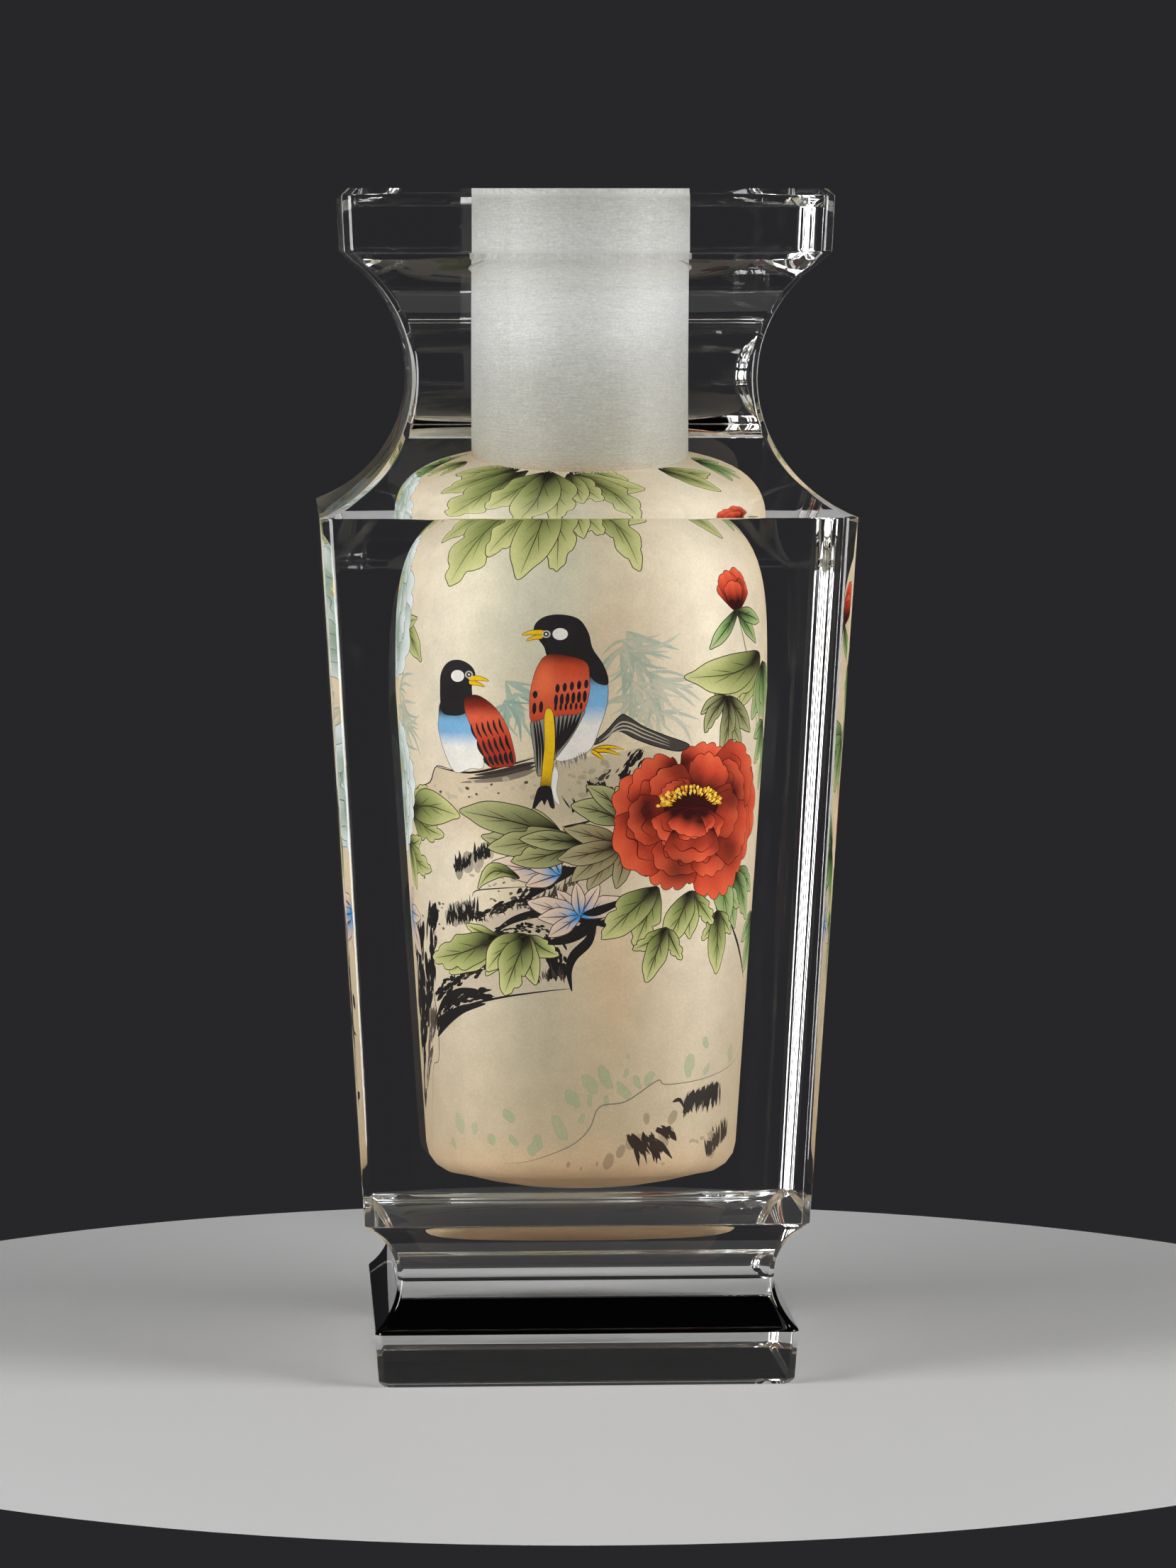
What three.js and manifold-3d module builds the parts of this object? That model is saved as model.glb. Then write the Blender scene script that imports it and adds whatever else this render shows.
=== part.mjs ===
// Interior painted glass vase, in millimetres, +Z up, origin at the centre of the underside.
// One square block of clear glass. Outside it is cut into a foot slab, a cove, a tapering body, a hollow
// neck and a rim slab. Inside, a round bore opens into a rounded-square chamber, whose wall is painted.

import * as THREE from 'three';
import { mergeVertices } from 'three/addons/utils/BufferGeometryUtils.js';
import Module from 'manifold-3d';

// Heights of the five zones of the block, from the ground up
const FOOT_HEIGHT = 11.7;
const COVE_HEIGHT = 22.2;
const BODY_HEIGHT = 148.6;
const NECK_HEIGHT = 52.9;
const RIM_HEIGHT = 14.6;

// Widths across the flats
const FOOT_WIDTH = 89;
const FOOT_BASE_WIDTH = 87.4;
const COVE_WAIST_WIDTH = 79.2;
const BODY_BASE_WIDTH = 93.2;
const SHOULDER_WIDTH = 111;
const NECK_WAIST_WIDTH = 72;
const RIM_BASE_WIDTH = 100.5;
const RIM_WIDTH = 101.6;

// Bevels along the level edges
const FOOT_BEVEL = 1;
const BODY_BEVEL = 0.5;
const RIM_LOWER_BEVEL = 1.6;
const RIM_UPPER_BEVEL = 1.4;

// Chamfers along the four upright corners, each measured along the flat that it takes away
const FOOT_CHAMFER = 1.2;
const COVE_CHAMFER = 1;
const BODY_BASE_CHAMFER = 1.6;
const SHOULDER_CHAMFER = 2.6;
const NECK_CHAMFER = 1.3;
const RIM_CHAMFER = 1.9;

// Bore and chamber
const BORE_DIAMETER = 46;
const CHAMBER_FLOOR_THICKNESS = 39;
const CHAMBER_FLOOR_DISH = 3.8;
const CHAMBER_BASE_WIDTH = 66;
const CHAMBER_WIDTH = 78.6;
const CHAMBER_WIDEST_LEVEL = 146.3;
const CHAMBER_CORNER_RADIUS = 6.5;
const CHAMBER_SHOULDER_REACH = 60;
const CHAMBER_SHOULDER_RISE = 42.5;
const CHAMBER_SHOULDER_FULLNESS = 4.28;
const CHAMBER_SQUARENESS = 2.5;

// Fineness of the facets
const NECK_STEPS = 26;
const COVE_STEPS = 14;
const SHOULDER_STEPS = 12;
const CORNER_STEPS = 5;
const FLOOR_STEPS = 3;
const ROUND_STEPS = 64;
const CUTTER_CLEARANCE = 4;

// Levels of the zones
const COVE_BASE = FOOT_HEIGHT;
const BODY_BASE = COVE_BASE + COVE_HEIGHT;
const SHOULDER = BODY_BASE + BODY_HEIGHT;
const RIM_BASE = SHOULDER + NECK_HEIGHT;
const TOTAL_HEIGHT = RIM_BASE + RIM_HEIGHT;

const mix = (a, b, t) => a + (b - a) * t;

// A hollow round profile between two points [half width, level] that touches a waist between them.
// Returns the points in between, evenly spaced in angle.
function hollowArc([lowHalf, lowLevel], [highHalf, highLevel], waistHalf, steps) {
  const low = lowHalf - waistHalf;
  const high = highHalf - waistHalf;
  const span = highLevel - lowLevel;
  // The radius is the same at both ends: low + t^2 / low = high + (span - t)^2 / high
  const a = 1 / low - 1 / high;
  const b = (2 * span) / high;
  const c = low - high - (span * span) / high;
  const rise = Math.abs(a) < 1e-9 ? -c / b : (-b + Math.sqrt(b * b - 4 * a * c)) / (2 * a);
  const radius = (low * low + rise * rise) / (2 * low);
  const centreHalf = waistHalf + radius;
  const centreLevel = lowLevel + rise;
  const start = Math.atan2(lowLevel - centreLevel, centreHalf - lowHalf);
  const end = Math.atan2(highLevel - centreLevel, centreHalf - highHalf);
  return Array.from({ length: steps - 1 }, (_, i) => {
    const angle = mix(start, end, (i + 1) / steps);
    return [centreHalf - radius * Math.cos(angle), centreLevel + radius * Math.sin(angle)];
  });
}

// The outside, as rings [half width, level, corner chamfer] from the ground up
function outsideRings() {
  const footHalf = FOOT_WIDTH / 2;
  const bodyHalf = BODY_BASE_WIDTH / 2;
  const shoulderHalf = SHOULDER_WIDTH / 2;
  const coveTopHalf = bodyHalf - BODY_BEVEL;
  const rimBaseHalf = RIM_BASE_WIDTH / 2;
  const neckTopHalf = rimBaseHalf - RIM_LOWER_BEVEL;
  const cove = hollowArc([footHalf, COVE_BASE], [coveTopHalf, BODY_BASE], COVE_WAIST_WIDTH / 2, COVE_STEPS);
  const neck = hollowArc([shoulderHalf, SHOULDER], [neckTopHalf, RIM_BASE], NECK_WAIST_WIDTH / 2, NECK_STEPS);
  return [
    [FOOT_BASE_WIDTH / 2 - FOOT_BEVEL, 0, FOOT_CHAMFER],
    [FOOT_BASE_WIDTH / 2, FOOT_BEVEL, FOOT_CHAMFER],
    [footHalf, COVE_BASE, FOOT_CHAMFER],
    ...cove.map(([half, level]) => [half, level, COVE_CHAMFER]),
    [coveTopHalf, BODY_BASE, BODY_BASE_CHAMFER],
    [bodyHalf, BODY_BASE + BODY_BEVEL, BODY_BASE_CHAMFER],
    [shoulderHalf, SHOULDER, SHOULDER_CHAMFER],
    ...neck.map(([half, level]) => [half, level, NECK_CHAMFER]),
    [neckTopHalf, RIM_BASE, RIM_CHAMFER],
    [rimBaseHalf, RIM_BASE + RIM_LOWER_BEVEL, RIM_CHAMFER],
    [RIM_WIDTH / 2, TOTAL_HEIGHT - RIM_UPPER_BEVEL, RIM_CHAMFER],
    [RIM_WIDTH / 2 - RIM_UPPER_BEVEL, TOTAL_HEIGHT, RIM_CHAMFER],
  ];
}

// One level ring of the outside: a square with its four corners cut off
function chamferedSquare([half, level, chamfer]) {
  const inner = half - chamfer;
  return [
    [half, -inner], [half, inner], [inner, half], [-inner, half],
    [-half, inner], [-half, -inner], [-inner, -half], [inner, -half],
  ].map(([x, y]) => [x, y, level]);
}

// The hollow, as rings [half width, level, squareness] from its floor up to above the rim
function hollowRings() {
  const floor = CHAMBER_FLOOR_THICKNESS;
  const baseHalf = CHAMBER_BASE_WIDTH / 2;
  const widestHalf = CHAMBER_WIDTH / 2;
  const boreHalf = BORE_DIAMETER / 2;
  const wallStart = floor + CHAMBER_FLOOR_DISH + CHAMBER_CORNER_RADIUS;
  const rings = [];
  for (let i = 1; i < FLOOR_STEPS; i += 1) {
    const share = i / FLOOR_STEPS;
    rings.push([
      (baseHalf - CHAMBER_CORNER_RADIUS) * share,
      floor + CHAMBER_FLOOR_DISH * share ** 2,
      CHAMBER_SQUARENESS,
    ]);
  }
  for (let i = 0; i <= CORNER_STEPS; i += 1) {
    const angle = (i / CORNER_STEPS) * (Math.PI / 2);
    rings.push([
      baseHalf - CHAMBER_CORNER_RADIUS * (1 - Math.sin(angle)),
      wallStart - CHAMBER_CORNER_RADIUS * Math.cos(angle),
      CHAMBER_SQUARENESS,
    ]);
  }
  const power = CHAMBER_SHOULDER_FULLNESS;
  const boreShare = (boreHalf - widestHalf + CHAMBER_SHOULDER_REACH) / CHAMBER_SHOULDER_REACH;
  const topShare = (1 - boreShare ** power) ** (1 / power);
  const topAngle = Math.asin(topShare);
  for (let i = 0; i <= SHOULDER_STEPS; i += 1) {
    const rise = Math.sin((i / SHOULDER_STEPS) * topAngle);
    const reach = (1 - rise ** power) ** (1 / power);
    rings.push([
      widestHalf - CHAMBER_SHOULDER_REACH * (1 - reach),
      CHAMBER_WIDEST_LEVEL + CHAMBER_SHOULDER_RISE * rise,
      mix(CHAMBER_SQUARENESS, 2, (i / SHOULDER_STEPS) ** 2),
    ]);
  }
  rings.push([boreHalf, TOTAL_HEIGHT + CUTTER_CLEARANCE, 2]);
  return rings;
}

// One level ring of the hollow: a circle drawn out towards a square
function roundedSquare([half, level, squareness]) {
  return Array.from({ length: ROUND_STEPS }, (_, i) => {
    const angle = (i / ROUND_STEPS) * 2 * Math.PI;
    const cos = Math.cos(angle);
    const sin = Math.sin(angle);
    const reach = half * (Math.abs(cos) ** squareness + Math.abs(sin) ** squareness) ** (-1 / squareness);
    return [reach * cos, reach * sin, level];
  });
}

// A closed solid through level rings of equal length, each end closed by a fan about its centre
function loft(rings, baseLevel, topLevel) {
  const count = rings[0].length;
  const last = (rings.length - 1) * count;
  const positions = rings.flat(2);
  positions.push(0, 0, baseLevel, 0, 0, topLevel);
  const baseCentre = rings.length * count;
  const topCentre = baseCentre + 1;
  const index = [];
  for (let i = 0; i < count; i += 1) {
    const next = (i + 1) % count;
    for (let row = 0; row < last; row += count) {
      index.push(row + i, row + next, row + count + next);
      index.push(row + i, row + count + next, row + count + i);
    }
    index.push(baseCentre, next, i);
    index.push(topCentre, last + i, last + next);
  }
  const geometry = new THREE.BufferGeometry();
  geometry.setAttribute('position', new THREE.Float32BufferAttribute(positions, 3));
  geometry.setIndex(index);
  return geometry;
}

const wasm = await Module();
wasm.setup();

function toSolid(geometry) {
  const merged = mergeVertices(geometry);
  return new wasm.Manifold(new wasm.Mesh({
    numProp: 3,
    vertProperties: new Float32Array(merged.attributes.position.array),
    triVerts: new Uint32Array(merged.index.array),
  }));
}

function toGeometry(solid) {
  const mesh = solid.getMesh();
  const geometry = new THREE.BufferGeometry();
  geometry.setAttribute('position', new THREE.BufferAttribute(mesh.vertProperties, 3));
  geometry.setIndex(new THREE.BufferAttribute(mesh.triVerts, 1));
  geometry.computeVertexNormals();
  return geometry;
}

const block = loft(outsideRings().map(chamferedSquare), 0, TOTAL_HEIGHT);
const hollow = loft(
  hollowRings().map(roundedSquare),
  CHAMBER_FLOOR_THICKNESS,
  TOTAL_HEIGHT + CUTTER_CLEARANCE,
);

const glass = new THREE.MeshStandardMaterial({
  color: 0xe9ece8,
  roughness: 0.04,
  metalness: 0,
  transparent: true,
  opacity: 0.35,
});

const vase = new THREE.Mesh(toGeometry(toSolid(block).subtract(toSolid(hollow))), glass);
vase.name = 'glass_vase';

const group = new THREE.Group();
group.add(vase);

export default group;
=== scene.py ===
"""Interior painted glass vase: a clear glass block with a frosted bore and a painted chamber."""

import math
import random
from bisect import bisect_right

import bpy
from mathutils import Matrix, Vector
from mathutils.bvhtree import BVHTree
from mathutils.geometry import delaunay_2d_cdt


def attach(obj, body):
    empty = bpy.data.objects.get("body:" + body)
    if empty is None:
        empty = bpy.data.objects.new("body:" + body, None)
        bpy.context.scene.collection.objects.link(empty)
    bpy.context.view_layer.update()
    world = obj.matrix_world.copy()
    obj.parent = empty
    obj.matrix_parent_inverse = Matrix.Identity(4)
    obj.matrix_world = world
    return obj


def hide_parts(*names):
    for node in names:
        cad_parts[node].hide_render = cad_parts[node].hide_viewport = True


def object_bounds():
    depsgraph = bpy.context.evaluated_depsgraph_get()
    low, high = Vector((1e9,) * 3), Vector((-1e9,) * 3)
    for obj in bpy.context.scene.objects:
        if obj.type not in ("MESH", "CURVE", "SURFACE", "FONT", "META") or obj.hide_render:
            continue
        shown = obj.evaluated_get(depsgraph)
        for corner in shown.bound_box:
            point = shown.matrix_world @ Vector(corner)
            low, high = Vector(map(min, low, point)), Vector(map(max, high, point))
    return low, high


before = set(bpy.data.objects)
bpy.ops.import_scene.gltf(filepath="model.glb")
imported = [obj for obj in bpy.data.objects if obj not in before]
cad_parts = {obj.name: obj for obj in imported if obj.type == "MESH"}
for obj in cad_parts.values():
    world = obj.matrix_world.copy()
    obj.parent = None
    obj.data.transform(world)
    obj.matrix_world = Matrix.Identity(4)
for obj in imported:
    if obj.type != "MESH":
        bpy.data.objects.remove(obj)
cad_low, cad_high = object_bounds()

# Levels and widths of the glass block, in millimetres
MM = 0.001
TOTAL_HEIGHT = round((cad_high[2] - cad_low[2]) / MM, 3)
FOOT_TOP = 11.7
BODY_BASE = 33.9
SHOULDER = 182.5
RIM_BASE = 235.4
FOOT_WIDTH = 89.0
FOOT_BASE_WIDTH = 87.4
COVE_WAIST_WIDTH = 79.2
BODY_BASE_WIDTH = 93.2
SHOULDER_WIDTH = 111.0
NECK_WAIST_WIDTH = 72.0
RIM_BASE_WIDTH = 100.5
RIM_WIDTH = 101.6
FOOT_BEVEL = 1.0
BODY_BEVEL = 0.5
RIM_LOWER_BEVEL = 1.6
RIM_UPPER_BEVEL = 1.4
FOOT_CHAMFER = 1.2
COVE_CHAMFER = 1.0
BODY_BASE_CHAMFER = 1.6
SHOULDER_CHAMFER = 2.6
NECK_CHAMFER = 1.3
RIM_CHAMFER = 1.9

# Bore and chamber
BORE_RADIUS = 23.0
MOUTH_BEVEL = 0.6
FLOOR_LEVEL = 39.0
FLOOR_DISH = 3.8
BASE_HALF = 33.0
WIDEST_HALF = 39.3
WIDEST_LEVEL = 146.3
CORNER_RADIUS = 6.5
SHOULDER_REACH = 60.0
SHOULDER_RISE = 42.5
SHOULDER_FULLNESS = 4.28
SQUARENESS = 2.5

# Small rounds along the cut edges: the bevels, the arrises, and a share of each corner chamfer
FINE_ROUND = 0.45
CRISP_ROUND = 0.22
CORNER_ROUND = 0.3

# Fineness of the mesh, and the pitch of the painting's own grid
NECK_STEPS = 72
COVE_STEPS = 40
SOFT_STEPS = 4
CORNER_STEPS = 3
FLOOR_CORNER_STEPS = 12
CHAMBER_SHOULDER_STEPS = 48
CHAMBER_SIDES = 176
GRID_PITCH = 2.5

# The optical index of the glass, in its clear and its frosted faces
GLASS_INDEX = 1.52

# The camera of the photograph: its focal length in pixels, distance and turn about the vase
PHOTO_HEIGHT = 2212
FOCAL_PIXELS = 8470
SENSOR = 36.0
CAMERA_DISTANCE = 1292.0
CAMERA_PITCH = 5.0
CAMERA_AZIMUTH = -3.0
AIM_LEVEL = 123.0
AIM_SIDE = 2.4


def mix(a, b, t):
    return a + (b - a) * t


def linear(code):
    """Linear red, green and blue from a six-digit sRGB code."""
    parts = [int(code[i:i + 2], 16) / 255 for i in (0, 2, 4)]
    return tuple(c / 12.92 if c < 0.04045 else ((c + 0.055) / 1.055) ** 2.4 for c in parts)


# The outside of the glass

def hollow_arc(low_point, high_point, waist, steps):
    """Points of the circle that passes two profile points and touches the waist between them."""
    (low_half, low_level), (high_half, high_level) = low_point, high_point
    low = low_half - waist
    high = high_half - waist
    span = high_level - low_level
    a = 1 / low - 1 / high
    b = 2 * span / high
    c = low - high - span * span / high
    rise = (-b + math.sqrt(b * b - 4 * a * c)) / (2 * a)
    radius = (low * low + rise * rise) / (2 * low)
    centre_half = waist + radius
    centre_level = low_level + rise
    start = math.atan2(low_level - centre_level, centre_half - low_half)
    end = math.atan2(high_level - centre_level, centre_half - high_half)
    angles = [mix(start, end, i / steps) for i in range(1, steps)]
    return [(centre_half - radius * math.cos(t), centre_level + radius * math.sin(t)) for t in angles]


def soften(before, corner, after, size, steps):
    """A short round from the side of one point to the other, in place of a sharp corner."""
    first = corner + (before - corner).normalized() * size
    last = corner + (after - corner).normalized() * size
    shares = [i / steps for i in range(steps + 1)]
    return [first * (1 - t) ** 2 + corner * 2 * t * (1 - t) + last * t ** 2 for t in shares]


def outside_profile():
    """Rows (half width, level, corner chamfer) of the outside, from the underside to the top."""
    cove_top = BODY_BASE_WIDTH / 2 - BODY_BEVEL
    neck_top = RIM_BASE_WIDTH / 2 - RIM_LOWER_BEVEL
    cove = hollow_arc((FOOT_WIDTH / 2, FOOT_TOP), (cove_top, BODY_BASE), COVE_WAIST_WIDTH / 2, COVE_STEPS)
    neck = hollow_arc((SHOULDER_WIDTH / 2, SHOULDER), (neck_top, RIM_BASE), NECK_WAIST_WIDTH / 2,
                      NECK_STEPS)
    rows = [
        (FOOT_BASE_WIDTH / 2 - FOOT_BEVEL, 0, FOOT_CHAMFER, 0),
        (FOOT_BASE_WIDTH / 2, FOOT_BEVEL, FOOT_CHAMFER, FINE_ROUND),
        (FOOT_WIDTH / 2, FOOT_TOP, FOOT_CHAMFER, FINE_ROUND),
        *((half, level, COVE_CHAMFER, 0) for half, level in cove),
        (cove_top, BODY_BASE, BODY_BASE_CHAMFER, CRISP_ROUND),
        (BODY_BASE_WIDTH / 2, BODY_BASE + BODY_BEVEL, BODY_BASE_CHAMFER, CRISP_ROUND),
        (SHOULDER_WIDTH / 2, SHOULDER, SHOULDER_CHAMFER, CRISP_ROUND),
        *((half, level, NECK_CHAMFER, 0) for half, level in neck),
        (neck_top, RIM_BASE, RIM_CHAMFER, CRISP_ROUND),
        (RIM_BASE_WIDTH / 2, RIM_BASE + RIM_LOWER_BEVEL, RIM_CHAMFER, FINE_ROUND),
        (RIM_WIDTH / 2, TOTAL_HEIGHT - RIM_UPPER_BEVEL, RIM_CHAMFER, FINE_ROUND),
        (RIM_WIDTH / 2 - RIM_UPPER_BEVEL, TOTAL_HEIGHT, RIM_CHAMFER, 0),
    ]
    profile = []
    for i, (half, level, chamfer, size) in enumerate(rows):
        if size:
            around = [Vector(row[:3]) for row in rows[i - 1:i + 2]]
            profile += [tuple(point) for point in soften(*around, size, SOFT_STEPS)]
        else:
            profile.append((half, level, chamfer))
    return profile


def corner_outline(half, chamfer):
    """One corner of a level ring, from the +X flat round to the +Y flat, its two edges softened."""
    first = Vector((half, half - chamfer))
    last = Vector((half - chamfer, half))
    size = CORNER_ROUND * chamfer
    low = soften(Vector((half, 0)), first, last, size, CORNER_STEPS)
    return low + soften(first, last, Vector((0, half)), size, CORNER_STEPS)


def outside_ring(half, chamfer):
    """A level ring of the outside, anticlockwise seen from above."""
    corner = corner_outline(half, chamfer)
    ring = []
    for cos, sin in ((1, 0), (0, 1), (-1, 0), (0, -1)):
        ring += [(p.x * cos - p.y * sin, p.x * sin + p.y * cos) for p in corner]
    return ring


# The inside of the glass

def shoulder_points(steps):
    """Rows (half width, level, squareness) of the chamber from its widest level up to the bore."""
    bore_share = (BORE_RADIUS - WIDEST_HALF + SHOULDER_REACH) / SHOULDER_REACH
    power = SHOULDER_FULLNESS
    top_angle = math.asin((1 - bore_share ** power) ** (1 / power))
    rows = []
    for i in range(steps + 1):
        rise = math.sin(i / steps * top_angle)
        reach = (1 - rise ** power) ** (1 / power)
        half = WIDEST_HALF - SHOULDER_REACH * (1 - reach)
        rows.append((half, WIDEST_LEVEL + SHOULDER_RISE * rise, mix(SQUARENESS, 2, (i / steps) ** 2)))
    return rows


def chamber_profile():
    """Rows (height on the wall, half width, level, squareness); the height is measured along the wall
    and agrees with the level at the widest place."""
    low = FLOOR_LEVEL + FLOOR_DISH + CORNER_RADIUS
    rows = []
    for i in range(FLOOR_CORNER_STEPS + 1):
        angle = i / FLOOR_CORNER_STEPS * math.pi / 2
        half = BASE_HALF - CORNER_RADIUS * (1 - math.sin(angle))
        rows.append((half, low - CORNER_RADIUS * math.cos(angle), SQUARENESS))
    widest = len(rows)
    rows += shoulder_points(CHAMBER_SHOULDER_STEPS)
    heights = [0.0] * len(rows)
    heights[widest] = WIDEST_LEVEL
    for i in range(widest + 1, len(rows)):
        heights[i] = heights[i - 1] + math.dist(rows[i][:2], rows[i - 1][:2])
    for i in range(widest - 1, -1, -1):
        heights[i] = heights[i + 1] - math.dist(rows[i][:2], rows[i + 1][:2])
    return [(heights[i], *rows[i]) for i in range(len(rows))]


PROFILE = chamber_profile()
WALL_LOW = PROFILE[0][0]
WALL_HIGH = PROFILE[-1][0]
GIRTH_RADIUS = 37.0
HALF_GIRTH = math.pi * GIRTH_RADIUS
PICTURE_SHIFT = -1.65
PICTURE_TURN = PICTURE_SHIFT / GIRTH_RADIUS


def wall_row(height):
    """Half width, level and squareness of the chamber at a height on its wall."""
    low = bisect_right(PROFILE, height, key=lambda row: row[0]) - 1
    low = min(max(low, 0), len(PROFILE) - 2)
    a, b = PROFILE[low:low + 2]
    t = min(max((height - a[0]) / (b[0] - a[0]), 0), 1)
    return tuple(mix(a[k], b[k], t) for k in (1, 2, 3))


def wall_point(across, height):
    """The place in space of a point of the painting: across from the front's middle, and up the wall."""
    half, level, power = wall_row(height)
    angle = across / GIRTH_RADIUS + PICTURE_TURN - math.pi / 2
    cos, sin = math.cos(angle), math.sin(angle)
    reach = half * (abs(cos) ** power + abs(sin) ** power) ** (-1 / power)
    return (reach * cos, reach * sin, level)


# The painting, laid out flat: across from the front's middle, and up the wall, in millimetres

INK = linear("1f1b19")
BLACK = linear("232120")


def blend_colour(a, b, t):
    t = min(max(t, 0), 1)
    return tuple(mix(x, y, t) for x, y in zip(a, b))


def ramp(stops, t):
    """The colour at t on a list of (place, colour) stops."""
    if t <= stops[0][0]:
        return stops[0][1]
    for (low, first), (high, second) in zip(stops, stops[1:]):
        if t <= high:
            return blend_colour(first, second, (t - low) / (high - low))
    return stops[-1][1]


def bump(x, y, centre, reach):
    """A soft round spot, 1 at its centre."""
    u = (x - centre[0]) / reach[0]
    v = (y - centre[1]) / reach[1]
    return math.exp(-u * u - v * v)


GROUND_LIGHT = linear("ecdfc6")
GROUND_WARM = linear("dfcba9")
GROUND_LOW = linear("b59f7e")
GROUND_FLOOR = linear("edc294")
# Greenish-grey and peach soft round spots, painted light for the bands of light seen through the glass:
# tint, strength, centre and reach.
PAINTED_LIGHT_BANDS = (
    (linear("bcc4b2"), 0.62, (-6, 166), (15, 27)),
    (linear("b9bfac"), 0.58, (-9, 70), (12, 22)),
    (linear("e0bd96"), 0.34, (6, 157), (7, 12)),
    (linear("e6bd92"), 0.42, (8, 84), (7, 15)),
)


def ground(x, y):
    """The cream ground: greenish and peach soft round spots of painted light, for bands of light seen
    through the glass, a deeper tone towards the bottom and a warm lowest edge.
    """
    colour = blend_colour(GROUND_LIGHT, GROUND_WARM, 0.5 + 0.5 * math.cos(x / GIRTH_RADIUS * 4))
    for tint, strength, centre, reach in PAINTED_LIGHT_BANDS:
        colour = blend_colour(colour, tint, strength * bump(x, y, centre, reach))
    colour = blend_colour(colour, GROUND_LOW, 0.66 * min(max((112 - y) / 62, 0), 1))
    return blend_colour(colour, GROUND_FLOOR, 0.8 * bump(x, y, (0, WALL_LOW + 1), (70, 8)))


def curve(points, closed=False, steps=6):
    """A smooth line through a few points."""
    count = len(points)
    spans = count if closed else count - 1
    result = []
    for i in range(spans):
        if closed:
            a, b, c, d = (points[(i + k) % count] for k in (-1, 0, 1, 2))
        else:
            a, b = points[max(i - 1, 0)], points[i]
            c, d = points[i + 1], points[min(i + 2, count - 1)]
        for k in range(steps):
            t = k / steps
            result.append(tuple(
                0.5 * (2 * q + (r - p) * t + (2 * p - 5 * q + 4 * r - s) * t ** 2
                       + (3 * q - p - 3 * r + s) * t ** 3)
                for p, q, r, s in zip(a, b, c, d)))
    if not closed:
        result.append(tuple(points[-1]))
    return result


def area(outline):
    return sum(a[0] * b[1] - b[0] * a[1] for a, b in zip(outline, outline[1:] + outline[:1])) / 2


def holds(outline, place):
    """Whether a place is inside an outline, by the crossings of a ray to its right."""
    x, y = place
    inside = False
    ax, ay = outline[-1]
    for bx, by in outline:
        if (ay > y) != (by > y) and x < ax + (y - ay) / (by - ay) * (bx - ax):
            inside = not inside
        ax, ay = bx, by
    return inside


def widened(outline, width):
    """The outline moved outward by the width of an ink line."""
    count = len(outline)
    result = []
    for i, (x, y) in enumerate(outline):
        before, after = outline[i - 1], outline[(i + 1) % count]
        dx, dy = after[0] - before[0], after[1] - before[1]
        length = math.hypot(dx, dy) or 1
        result.append((x + dy / length * width, y - dx / length * width))
    return result


def middle(points, face):
    return sum((points[v] for v in face), Vector((0, 0))) / len(face)


class Frame:
    """A local frame: u along a direction and w to its left, each with its own scale."""

    def __init__(self, base, angle, length, width, bend=0.0):
        self.base, self.length, self.width, self.bend = base, length, width, bend
        self.cos, self.sin = math.cos(angle), math.sin(angle)

    def out(self, u, w):
        along = u * self.length
        side = w * self.width + self.bend * self.length * 4 * u * (1 - u)
        return (self.base[0] + along * self.cos - side * self.sin,
                self.base[1] + along * self.sin + side * self.cos)

    def back(self, x, y):
        dx, dy = x - self.base[0], y - self.base[1]
        u = (dx * self.cos + dy * self.sin) / self.length
        side = -dx * self.sin + dy * self.cos - self.bend * self.length * 4 * u * (1 - u)
        return u, side / self.width


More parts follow.
